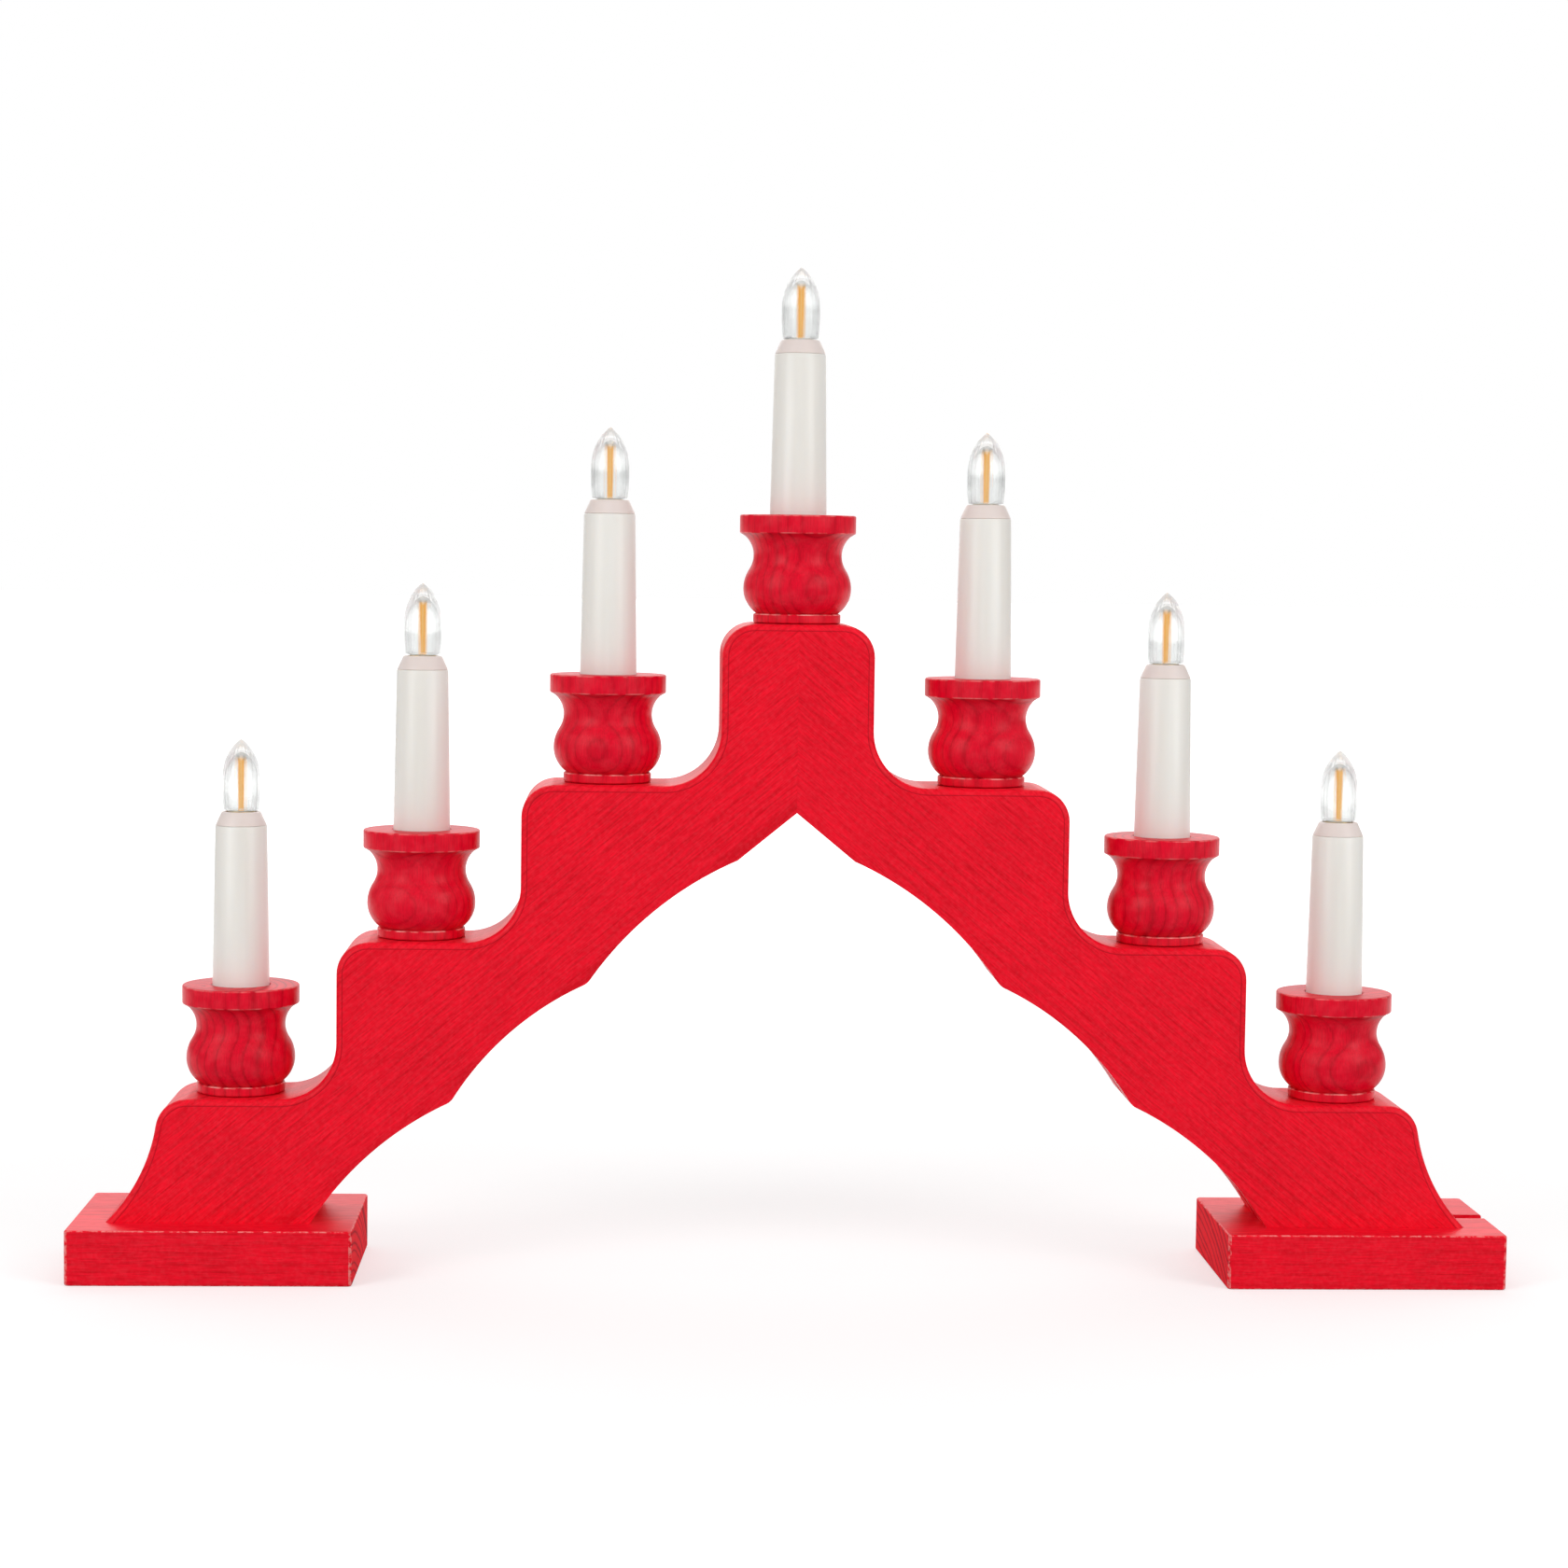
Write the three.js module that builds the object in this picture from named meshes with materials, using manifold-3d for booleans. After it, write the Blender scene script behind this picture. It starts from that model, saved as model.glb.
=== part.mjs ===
// Candle arch of stained pine with seven screw-in filament bulbs.
// Two stepped boards are mitred in the middle and screwed to flat feet. Each shelf carries a
// turned cup, a plastic candle sleeve with its lampholder, and a bulb.
// Millimetres. +X runs to the right, the front faces -Y, +Z is up and the floor is z = 0.

import * as THREE from 'three';
import Module from 'manifold-3d';
import { mergeVertices } from 'three/addons/utils/BufferGeometryUtils.js';

const wasm = await Module();
wasm.setup();

// Fits
const looseFit = 0.3;          // radial play of a dowel, screw or tenon in its hole
const sleeveFit = 0.3;         // radial play of a sleeve in its cup
const holderFit = 0.25;        // radial play of a lampholder in its sleeve
const threadFit = 0.3;         // radial play of a bulb cap in its lampholder
const endGap = 0.3;            // play at the end of a blind seat
const cutOver = 1;             // how far a cutter runs past the face it opens

// Feet
const footWidth = 96.6;        // along X
const footDepth = 65;          // front to back
const footThick = 18.9;
const footInnerX = 149.2;      // middle of the arch to a foot's inner end
const footCorner = 1.6;        // eased upright corners
const footArris = 0.7;         // eased edges, top and bottom

// Arch boards
const boardThick = 40;         // front to back
const roundOver = 2.3;         // routed along the upper edges
const innerPitch = 64.8;       // cup to cup, from the middle outwards
const middlePitch = 63.7;
const outerPitch = 61.9;
const legHeight = 42.5;        // foot to the lowest shelf
const stepRise = 54.25;        // shelf to shelf
const crownRise = 55.4;        // highest side shelf to the crown
const crownHalf = 26;          // half the crown's width
const upperShoulder = 28.9;    // a side cup's axis to the riser on its outer side
const lowerShoulder = 27.5;
const endReach = 26;           // the outermost cup's axis to the shelf's end
const cornerRadius = 11;       // convex corners
const filletRadius = 19.2;     // hollows between a shelf and its riser
const endRadius = 60;          // hollow of the leg's outer end

// Scalloped underside
const seamHeight = 64.1;       // crown to the underside at the mitre
const apexRun = 20;            // half width of the straight peak
const apexDrop = 16.4;
const scallopSag = 4.7;        // depth of each scallop under its chord
const upperCuspIn = 23;        // a riser to the cusp below it, along X
const lowerCuspIn = 39.1;
const upperCuspDrop = 13.4;    // that riser's lower shelf to the cusp, along Z
const lowerCuspDrop = 0.2;
const heelIn = 25.8;           // the outermost cup's axis to the leg's inner heel

// Cable ways, dowels and screws
const wireRadius = 3.2;        // upright way under each cup
const channelWide = 6;         // channel along the underside
const channelDeep = 6.5;       // measured straight up from the underside
const slotWide = 6;            // cord slot in the right foot's top
const slotDeep = 5;
const dowelRadius = 4;
const dowelLength = 32;
const dowelForward = 9;        // the dowels' line, in front of the board's middle
const lowerDowelHeight = 16;   // above the underside at the mitre
const upperDowelHeight = 40;
const screwLength = 35;
const screwRadius = 2.1;
const screwHeadRadius = 4.2;
const screwHeadTall = 2.6;
const screwSink = 0.6;         // head below the foot's underside
const screwPoint = 5;
const screwOut = 9;            // outermost cup's axis to the screws, outwards
const screwApart = 11;         // screws in front of and behind the board's middle

// Turned cup
const cupHeight = 37.2;
const rimRadius = 20;
const rimTall = 6.5;
const rimEase = 0.7;
const coveShare = 0.58;        // how far out the hollow runs, from the neck to the rim
const neckRadius = 15.2;
const neckBend = 8.75;         // radius of the hollow round the neck, up to the rim
const bellyRadius = 18.6;
const bellyHeight = 11.9;      // of the widest point
const bellyBend = 12.3;        // radius of the curve over the widest point
const bellyLowBend = 10.3;     // and under it
const ringRadius = 15.1;
const ringTall = 3.3;
const grooveRadius = 14.5;
const tenonRadius = 7;
const tenonLength = 8;

// Candle sleeve and lampholder
const sleeveSeat = 14;         // length inside the cup
const sleeveTall = 55;         // cup to shoulder
const sleeveFootRadius = 9.75;
const sleeveTopRadius = 8.8;
const sleeveWall = 1.2;
const lipWide = 0.35;          // ledge at the shoulder
const collarTall = 4.8;
const collarRadius = 6.55;     // at the collar's top
const collarHole = 5.4;
const holderTall = 16;
const holderDrop = 1.6;        // shoulder to the holder's top
const holderFloor = 3.4;

// Screw-in bulb
const capRadius = 4.75;
const capChamfer = 1.3;
const capReach = 0.8;          // cap inside the glass
const contactRadius = 2.6;
const contactTall = 1.8;
const contactTip = 0.9;
const glassTall = 24.7;        // collar to the tip of the flame
const glassFootRadius = 6.05;
const glassRadius = 6.6;
const glassBellyShare = 0.34;  // height of the widest point, as a share of the glass
const glassWall = 0.9;
const glassMouthRadius = 5.05;
const glassTipThick = 4.6;
const filamentTall = 17.3;
const filamentWide = 1.9;
const filamentThick = 0.8;

// Facets
const arcSteps = 6;
const scallopSteps = 7;
const cornerSteps = 5;
const roundSteps = 2;
const bellySteps = 3;
const shoulderSteps = 2;
const neckSteps = 4;
const cupSides = 18;
const sleeveSides = 15;
const bulbSides = 12;
const pinSides = 10;

// Heights and places that follow from the sizes above
const pitches = [innerPitch, middlePitch, outerPitch];
const cupX = pitches.reduce((at, pitch) => [...at, at.at(-1) + pitch], [0]);
const lowShelf = footThick + legHeight;
const crownTop = lowShelf + 2 * stepRise + crownRise;
const shelfZ = [crownTop, lowShelf + 2 * stepRise, lowShelf + stepRise, lowShelf];
const shoulders = [upperShoulder, lowerShoulder];
const riserX = [crownHalf, ...shoulders.map((reach, step) => cupX[step + 1] + reach)];
// A hollow ends before the cup that stands beside it
const hollowRadius = riserX.map((x, tier) => Math.min(filletRadius, cupX[tier + 1] - ringRadius - x));
const endX = cupX[3] + endReach;
const apexZ = crownTop - seamHeight;
const heelX = cupX[3] - heelIn;
const seatDepth = tenonLength + endGap;
const screwX = cupX[3] + screwOut;
const screwY = [-screwApart, screwApart];

const paint = {
  board: { color: 0xd3202a, roughness: 0.45, metalness: 0 },
  cup: { color: 0xb80d22, roughness: 0.35, metalness: 0 },
  pine: { color: 0xd9c08e, roughness: 0.7, metalness: 0 },
  sleeve: { color: 0xe9e4dd, roughness: 0.5, metalness: 0 },
  holder: { color: 0xf2f0ea, roughness: 0.6, metalness: 0 },
  brass: { color: 0xc9a353, roughness: 0.3, metalness: 1 },
  contact: { color: 0xb9babb, roughness: 0.35, metalness: 1 },
  zinc: { color: 0xc2c4c2, roughness: 0.35, metalness: 1 },
  glass: { color: 0xf4f6f6, roughness: 0.05, metalness: 0, transparent: true, opacity: 0.35 },
  filament: { color: 0xe8a63c, roughness: 0.55, metalness: 0 },
};

function mesh(name, geometry, finish) {
  const piece = new THREE.Mesh(geometry, new THREE.MeshStandardMaterial(finish));
  piece.name = name;
  return piece;
}

// Solids for cutting
function toSolid(geometry) {
  const bare = geometry.clone();
  bare.deleteAttribute('normal');
  bare.deleteAttribute('uv');
  const joined = mergeVertices(bare, 1e-4);
  return new wasm.Manifold(new wasm.Mesh({
    numProp: 3,
    vertProperties: new Float32Array(joined.attributes.position.array),
    triVerts: new Uint32Array(joined.index.array),
  }));
}

function cut(geometry, cutters) {
  let solid = toSolid(geometry);
  for (const cutter of cutters) solid = solid.subtract(toSolid(cutter));
  const result = solid.getMesh();
  const shape = new THREE.BufferGeometry();
  shape.setAttribute('position', new THREE.BufferAttribute(result.vertProperties, 3));
  shape.setIndex(new THREE.BufferAttribute(result.triVerts, 1));
  shape.computeVertexNormals();
  return shape;
}

// Profile of [radius, height] pairs, turned about Z
function revolve(profile, sides) {
  const points = profile.map(([radius, height]) => new THREE.Vector2(radius, height));
  return new THREE.LatheGeometry(points, sides).rotateX(Math.PI / 2);
}

function uprightPin(radius, x, y, low, high, sides = pinSides) {
  return new THREE.CylinderGeometry(radius, radius, high - low, sides)
    .rotateX(Math.PI / 2)
    .translate(x, y, (low + high) / 2);
}

function block(low, high) {
  const size = high.map((value, axis) => value - low[axis]);
  const middle = high.map((value, axis) => (value + low[axis]) / 2);
  return new THREE.BoxGeometry(...size).translate(...middle);
}

// Outline helpers in the X-Z plane
function arc(x, z, radius, from, to, steps) {
  return Array.from({ length: steps + 1 }, (_, step) => {
    const angle = from + (to - from) * step / steps;
    return [x + radius * Math.cos(angle), z + radius * Math.sin(angle)];
  });
}

// Points after a, up to b, along an arc that bows to the left of the way from a to b
function bow(a, b, sag, steps) {
  const chord = Math.hypot(b[0] - a[0], b[1] - a[1]);
  const radius = chord * chord / (8 * sag) + sag / 2;
  const half = Math.asin(chord / (2 * radius));
  const along = [(b[0] - a[0]) / chord, (b[1] - a[1]) / chord];
  const points = [];
  for (let step = 1; step <= steps; step += 1) {
    const angle = half * (2 * step / steps - 1);
    const run = chord / 2 + radius * Math.sin(angle);
    const rise = radius * (Math.cos(angle) - Math.cos(half));
    points.push([a[0] + along[0] * run - along[1] * rise, a[1] + along[1] * run + along[0] * rise]);
  }
  return points;
}

// Underside of the right half, from the mitre to the heel
function underside() {
  const stops = [
    [apexRun, apexZ - apexDrop],
    [riserX[1] - upperCuspIn, shelfZ[2] - upperCuspDrop],
    [riserX[2] - lowerCuspIn, shelfZ[3] - lowerCuspDrop],
    [heelX, footThick],
  ];
  const points = [[0, apexZ], stops[0]];
  for (let step = 1; step < stops.length; step += 1) {
    points.push(...bow(stops[step - 1], stops[step], scallopSag, scallopSteps));
  }
  return points;
}

// Right half's outline with its upper edge moved in by the given inset
function boardOutline(inset) {
  const corner = cornerRadius - inset;
  const endCentre = [endX + endRadius, lowShelf];
  const reach = Math.sqrt((endRadius + cornerRadius) ** 2 - cornerRadius ** 2);
  const endCorner = [endCentre[0] - reach, lowShelf - cornerRadius];
  const touch = Math.atan2(cornerRadius, reach);
  const tip = Math.asin(legHeight / (endRadius + inset));
  const points = [
    ...underside(),
    ...arc(...endCentre, endRadius + inset, Math.PI + tip, Math.PI + touch, arcSteps),
    ...arc(...endCorner, corner, touch, Math.PI / 2, cornerSteps).slice(1),
  ];
  for (let tier = 2; tier >= 0; tier -= 1) {
    const hollow = hollowRadius[tier];
    const fillet = [riserX[tier] + hollow, shelfZ[tier + 1] + hollow];
    const top = [riserX[tier] - cornerRadius, shelfZ[tier] - cornerRadius];
    points.push(...arc(...fillet, hollow + inset, 1.5 * Math.PI, Math.PI, arcSteps));
    points.push(...arc(...top, corner, 0, Math.PI / 2, cornerSteps));
  }
  return [...points, [0, crownTop - inset]];
}

// Skin over sections of equal point count, each a ring in the X-Z plane at its own y
function loft(sections) {
  const count = sections[0].ring.length;
  const vertices = sections.flatMap(({ ring, y }) => ring.flatMap(([x, z]) => [x, y, z]));
  const faces = [];
  for (let section = 0; section < sections.length - 1; section += 1) {
    for (let at = 0; at < count; at += 1) {
      const next = (at + 1) % count;
      const near = section * count;
      const far = near + count;
      faces.push(near + at, far + at, far + next, near + at, far + next, near + next);
    }
  }
  const last = (sections.length - 1) * count;
  const cap = (ring) => THREE.ShapeUtils.triangulateShape(ring.map(([x, z]) => new THREE.Vector2(x, z)), []);
  for (const [a, b, c] of cap(sections[0].ring)) faces.push(a, b, c);
  for (const [a, b, c] of cap(sections.at(-1).ring)) faces.push(last + a, last + c, last + b);
  const shape = new THREE.BufferGeometry();
  shape.setAttribute('position', new THREE.Float32BufferAttribute(vertices, 3));
  shape.setIndex(faces);
  shape.computeVertexNormals();
  return shape;
}

// The same outline seen from the left half
const mirrored = (ring) => ring.map(([x, z]) => [-x, z]).reverse();
const sided = (ring, side) => (side > 0 ? ring : mirrored(ring));

// Board with both upper edges rounded over
function boardBlank(side) {
  const flat = boardThick / 2 - roundOver;
  const front = Array.from({ length: roundSteps + 1 }, (_, step) => {
    const angle = (1 - step / roundSteps) * Math.PI / 2;
    const ring = sided(boardOutline(roundOver * (1 - Math.cos(angle))), side);
    return { ring, y: -flat - roundOver * Math.sin(angle) };
  });
  const back = front.map(({ ring, y }) => ({ ring, y: -y })).reverse();
  return loft([...front, ...back]);
}

// Channel along the middle of the underside and on over the foot to the outermost cup's way
function wireChannel(side) {
  const edge = [...underside(), [cupX[3] + wireRadius, footThick]];
  const roof = edge.map(([x, z]) => [x, z + channelDeep]).reverse();
  const below = edge.map(([x, z]) => [x, z - cutOver]);
  const ring = sided([...below, ...roof], side);
  return loft([{ ring, y: -channelWide / 2 }, { ring, y: channelWide / 2 }]);
}

function archHalf(side) {
  const cutters = [wireChannel(side)];
  const base = footThick - cutOver;
  cupX.forEach((x, tier) => {
    const top = shelfZ[tier];
    cutters.push(uprightPin(wireRadius, side * x, 0, base, top));
    cutters.push(uprightPin(tenonRadius + looseFit, side * x, 0, top - seatDepth, top + cutOver, cupSides));
  });
  for (const height of [lowerDowelHeight, upperDowelHeight]) {
    cutters.push(dowel(dowelRadius + looseFit, dowelLength + 2 * endGap, apexZ + height));
  }
  const screwEnd = screwSink + screwLength + endGap;
  for (const y of screwY) {
    cutters.push(uprightPin(screwRadius + looseFit, side * screwX, y, base, screwEnd));
  }
  return cut(boardBlank(side), cutters);
}

// Hidden dowel across the mitre
function dowel(radius, length, height) {
  return new THREE.CylinderGeometry(radius, radius, length, pinSides)
    .rotateZ(Math.PI / 2)
    .translate(0, -dowelForward, height);
}

// Foot board with eased corners and edges
function footBlank(side) {
  const ring = (inset) => {
    const x = footWidth / 2 - inset;
    const y = footDepth / 2 - inset;
    const cx = x - footCorner;
    const cy = y - footCorner;
    return [[x, cy], [cx, y], [-cx, y], [-x, cy], [-x, -cy], [-cx, -y], [cx, -y], [x, -cy]];
  };
  const levels = [[footArris, 0], [0, footArris], [0, footThick - footArris], [footArris, footThick]];
  return loft(levels.map(([inset, y]) => ({ ring: ring(inset), y })))
    .rotateX(Math.PI / 2)
    .translate(side * (footInnerX + footWidth / 2), 0, 0);
}

// The right foot has the slot that the cord leaves by
function foot(side) {
  const cutters = screwY.map((y) => screwHole().translate(side * screwX, y, 0));
  if (side > 0) {
    const slotEnd = footInnerX + footWidth + cutOver;
    cutters.push(block(
      [cupX[3] - wireRadius, -slotWide / 2, footThick - slotDeep],
      [slotEnd, slotWide / 2, footThick + cutOver],
    ));
  }
  return cut(footBlank(side), cutters);
}

// Clearance hole through a foot with its countersink
function screwHole() {
  const rim = screwHeadRadius + looseFit;
  const throat = screwRadius + looseFit;
  const sunk = screwSink + looseFit;
  const neck = sunk + screwHeadTall;
  const top = footThick + cutOver;
  const profile = [[0, -cutOver], [rim, -cutOver], [rim, sunk], [throat, neck], [throat, top], [0, top]];
  return revolve(profile, pinSides);
}

function screw() {
  const profile = [
    [0, 0],
    [screwHeadRadius, 0],
    [screwRadius, screwHeadTall],
    [screwRadius, screwLength - screwPoint],
    [0, screwLength],
  ];
  return revolve(profile, pinSides);
}

// Turned cup: base ring, belly, neck, cove and rim, with a tenon below and a seat above
function cupProfile() {
  const lowCentre = bellyRadius - bellyLowBend;
  const grooveTurn = Math.acos((grooveRadius - lowCentre) / bellyLowBend);
  const highCentre = bellyRadius - bellyBend;
  const neckCentre = neckRadius + neckBend;
  const bends = bellyBend + neckBend;
  // The belly runs into the hollow round the neck without a corner
  const swing = Math.acos((neckCentre - highCentre) / bends);
  const neckHeight = bellyHeight + bends * Math.sin(swing);
  const coveTurn = Math.acos(1 - coveShare * (rimRadius - neckRadius) / neckBend);
  const belly = [
    ...arc(lowCentre, bellyHeight, bellyLowBend, -grooveTurn, 0, bellySteps),
    ...arc(highCentre, bellyHeight, bellyBend, 0, swing, shoulderSteps).slice(1),
  ];
  const hollow = arc(neckCentre, neckHeight, neckBend, Math.PI + swing, Math.PI - coveTurn, neckSteps);
  const rim = [
    [rimRadius, cupHeight - rimTall],
    [rimRadius, cupHeight - rimEase],
    [rimRadius - rimEase, cupHeight],
  ];
  const seatRadius = sleeveFootRadius + sleeveFit;
  const seatFloor = cupHeight - sleeveSeat - endGap;
  const inside = [
    [seatRadius, cupHeight],
    [seatRadius, seatFloor],
    [wireRadius, seatFloor],
    [wireRadius, -tenonLength],
  ];
  const foot = [[tenonRadius, -tenonLength], [tenonRadius, 0], [ringRadius, 0], [ringRadius, ringTall]];
  return [...foot, ...belly, ...hollow.slice(1), ...rim, ...inside, foot[0]];
}

// Sleeve radius at a height above the cup
const sleeveRadius = (height) => sleeveFootRadius
  - (sleeveFootRadius - sleeveTopRadius) * Math.max(height, 0) / sleeveTall;

function sleeveProfile() {
  const top = sleeveTall + collarTall;
  const outside = [
    [sleeveFootRadius, -sleeveSeat],
    [sleeveFootRadius, 0],
    [sleeveTopRadius, sleeveTall],
    [sleeveTopRadius - lipWide, sleeveTall],
    [collarRadius, top],
  ];
  const inside = [
    [collarHole, top],
    [sleeveTopRadius - sleeveWall, sleeveTall - sleeveWall],
    [sleeveFootRadius - sleeveWall, 0],
    [sleeveFootRadius - sleeveWall, -sleeveSeat],
  ];
  return [...outside, ...inside, outside[0]];
}

// Heights above the cup, shared by the lampholder and the bulb
const holderTop = sleeveTall - holderDrop;
const holderBase = holderTop - holderTall;
const contactBase = holderBase + holderFloor + endGap;
const capBase = contactBase + contactTall + endGap;
const glassBase = sleeveTall + collarTall + endGap;
const capTop = glassBase + capReach;

function holderProfile() {
  const fit = sleeveWall + holderFit;
  const bore = capRadius + threadFit;
  return [
    [0, holderBase],
    [sleeveRadius(holderBase) - fit, holderBase],
    [sleeveRadius(holderTop) - fit, holderTop],
    [bore, holderTop],
    [bore, holderBase + holderFloor],
    [0, holderBase + holderFloor],
  ];
}

function capProfile() {
  return [
    [0, capBase],
    [capRadius - capChamfer, capBase],
    [capRadius, capBase + capChamfer],
    [capRadius, capTop],
    [0, capTop],
  ];
}

function contactProfile() {
  return [
    [0, contactBase],
    [contactTip, contactBase],
    [contactRadius, contactBase + contactTall],
    [0, contactBase + contactTall],
  ];
}

// Flame-shaped glass, open at the bottom, with a thick drawn tip
function glassProfile() {
  const belly = glassTall * glassBellyShare;
  const outer = (height) => (height < belly
    ? glassRadius - (glassRadius - glassFootRadius) * (1 - height / belly) ** 2
    : glassRadius * Math.cos(Math.PI / 2 * ((height - belly) / (glassTall - belly)) ** 1.5) ** 0.85);
  const innerTop = glassTall - glassTipThick;
  const inner = (height) => (outer(height) - glassWall) * Math.sqrt(1 - (height / innerTop) ** 6);
  const points = (shares, top, radius) => shares.map((share) => [radius(share * top), share * top]);
  const outside = points([0, glassBellyShare, 0.5, 0.66, 0.8, 0.91, 0.97], glassTall, outer);
  const inside = points([0.95, 0.8, 0.45], innerTop, inner);
  const mouth = [[glassMouthRadius, capReach + endGap], [glassMouthRadius, 0]];
  return [[0, innerTop], ...inside, ...mouth, ...outside, [0, glassTall]]
    .map(([radius, height]) => [radius, height + glassBase]);
}

// One candle, counted from the left, standing on its shelf
function candle(number, x, shelf) {
  const stand = new THREE.Group();
  stand.position.set(x, 0, shelf);
  stand.add(mesh(`cup_${number}`, revolve(cupProfile(), cupSides), paint.cup));
  const light = new THREE.Group();
  light.position.z = cupHeight;
  const filament = block(
    [-filamentWide / 2, -filamentThick / 2, capTop],
    [filamentWide / 2, filamentThick / 2, capTop + filamentTall],
  );
  light.add(
    mesh(`sleeve_${number}`, revolve(sleeveProfile(), sleeveSides), paint.sleeve),
    mesh(`lampholder_${number}`, revolve(holderProfile(), bulbSides), paint.holder),
    mesh(`bulb_contact_${number}`, revolve(contactProfile(), pinSides), paint.contact),
    mesh(`bulb_cap_${number}`, revolve(capProfile(), bulbSides), paint.brass),
    mesh(`bulb_glass_${number}`, revolve(glassProfile(), bulbSides), paint.glass),
    mesh(`bulb_filament_${number}`, filament, paint.filament),
  );
  stand.add(light);
  return stand;
}

// The whole arch
const arch = new THREE.Group();
for (const [side, name] of [[-1, 'left'], [1, 'right']]) {
  arch.add(mesh(`arch_${name}`, archHalf(side), paint.board));
  arch.add(mesh(`foot_${name}`, foot(side), paint.board));
  ['front', 'back'].forEach((row, index) => {
    const piece = mesh(`screw_${name}_${row}`, screw(), paint.zinc);
    piece.position.set(side * screwX, screwY[index], screwSink);
    arch.add(piece);
  });
}
[lowerDowelHeight, upperDowelHeight].forEach((height, index) => {
  arch.add(mesh(`dowel_${index + 1}`, dowel(dowelRadius, dowelLength, apexZ + height), paint.pine));
});
const tiers = [3, 2, 1, 0, 1, 2, 3];
tiers.forEach((tier, index) => {
  arch.add(candle(index + 1, Math.sign(index - 3) * cupX[tier], shelfZ[tier]));
});

export default arch;
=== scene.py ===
from math import acos, asin, atan2, cos, hypot, pi, radians, sin, sqrt, tau

import bmesh
import bpy
from mathutils import Matrix, Vector


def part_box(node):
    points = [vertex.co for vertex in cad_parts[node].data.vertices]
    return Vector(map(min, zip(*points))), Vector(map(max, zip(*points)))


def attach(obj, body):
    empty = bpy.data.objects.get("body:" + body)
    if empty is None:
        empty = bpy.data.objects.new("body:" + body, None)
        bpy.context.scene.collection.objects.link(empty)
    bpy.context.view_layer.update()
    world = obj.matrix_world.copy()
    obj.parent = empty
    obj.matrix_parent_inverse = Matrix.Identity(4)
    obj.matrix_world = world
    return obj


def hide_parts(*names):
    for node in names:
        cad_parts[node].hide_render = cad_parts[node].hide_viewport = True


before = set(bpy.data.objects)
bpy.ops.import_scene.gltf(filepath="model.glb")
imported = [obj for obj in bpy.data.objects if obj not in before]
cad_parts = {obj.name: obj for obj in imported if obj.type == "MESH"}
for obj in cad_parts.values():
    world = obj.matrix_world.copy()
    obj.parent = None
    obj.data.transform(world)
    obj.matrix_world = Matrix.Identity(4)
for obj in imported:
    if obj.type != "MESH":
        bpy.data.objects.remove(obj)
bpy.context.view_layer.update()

mm = 0.001
weldDistance = 0.005 * mm
print("frame loaded")


# Small helpers

def toLinear(hexColour):
    parts = [int(hexColour[at:at + 2], 16) / 255 for at in (1, 3, 5)]
    curve = [part / 12.92 if part <= 0.04045 else ((part + 0.055) / 1.055) ** 2.4 for part in parts]
    return (*curve, 1)


def deselectAll():
    if bpy.context.object and bpy.context.object.mode != "OBJECT":
        bpy.ops.object.mode_set(mode="OBJECT")
    bpy.ops.object.select_all(action="DESELECT")


def makeActive(piece):
    deselectAll()
    piece.select_set(True)
    bpy.context.view_layer.objects.active = piece


def applyPlace():
    bpy.ops.object.transform_apply(location=True, rotation=True, scale=True)


def applyModifier(piece, kind, **settings):
    makeActive(piece)
    modifier = piece.modifiers.new(kind.lower(), kind)
    for key, value in settings.items():
        setattr(modifier, key, value)
    bpy.ops.object.modifier_apply(modifier=modifier.name)


def smooth(piece, degrees=35):
    makeActive(piece)
    bpy.ops.object.shade_smooth_by_angle(angle=radians(degrees))


def copyAt(source, name, x, z, turn=0.0, y=0.0):
    makeActive(source)
    bpy.ops.object.duplicate()
    made = bpy.context.object
    made.name = name
    made.location = (x * mm, y * mm, z * mm)
    made.rotation_euler.z = turn
    applyPlace()
    return made


# Selects in edit mode what the test picks: faces, edges or vertices of the active piece
def pick(kind, test):
    bpy.ops.mesh.select_all(action="DESELECT")
    bpy.ops.mesh.select_mode(type={"faces": "FACE", "edges": "EDGE", "verts": "VERT"}[kind])
    mesh = bmesh.from_edit_mesh(bpy.context.object.data)
    mesh.normal_update()
    for item in getattr(mesh, kind):
        item.select_set(bool(test(item)))
    bmesh.update_edit_mesh(bpy.context.object.data)


def extrudeBy(x, y, z):
    bpy.ops.mesh.extrude_region_move(TRANSFORM_OT_translate={"value": (x * mm, y * mm, z * mm)})


def weld():
    bpy.ops.mesh.select_all(action="SELECT")
    bpy.ops.mesh.remove_doubles(threshold=weldDistance)


def closeUp():
    weld()
    bpy.ops.mesh.normals_make_consistent(inside=False)


# Upright block between two corners, in millimetres
def block(name, low, high):
    low, high = Vector(low) * mm, Vector(high) * mm
    deselectAll()
    bpy.ops.mesh.primitive_cube_add(size=1, location=(low + high) / 2, scale=high - low)
    bpy.context.object.name = name
    applyPlace()
    return bpy.context.object


# A pen that traces an outline in the X-Z plane, in millimetres

pen = {"x": 0.0, "z": 0.0}


def startAt(name, x, z, y=0.0):
    deselectAll()
    bpy.ops.mesh.primitive_plane_add(size=mm)
    bpy.context.object.name = name
    bpy.ops.object.mode_set(mode="EDIT")
    bpy.ops.mesh.select_mode(type="VERT")
    bpy.ops.mesh.select_all(action="SELECT")
    bpy.ops.mesh.merge(type="CENTER")    # one point, ready to be extruded
    bpy.ops.transform.translate(value=(x * mm, y * mm, z * mm))
    pen.update(x=x, z=z)


def lineTo(x, z):
    extrudeBy(x - pen["x"], 0, z - pen["z"])
    pen.update(x=x, z=z)


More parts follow.
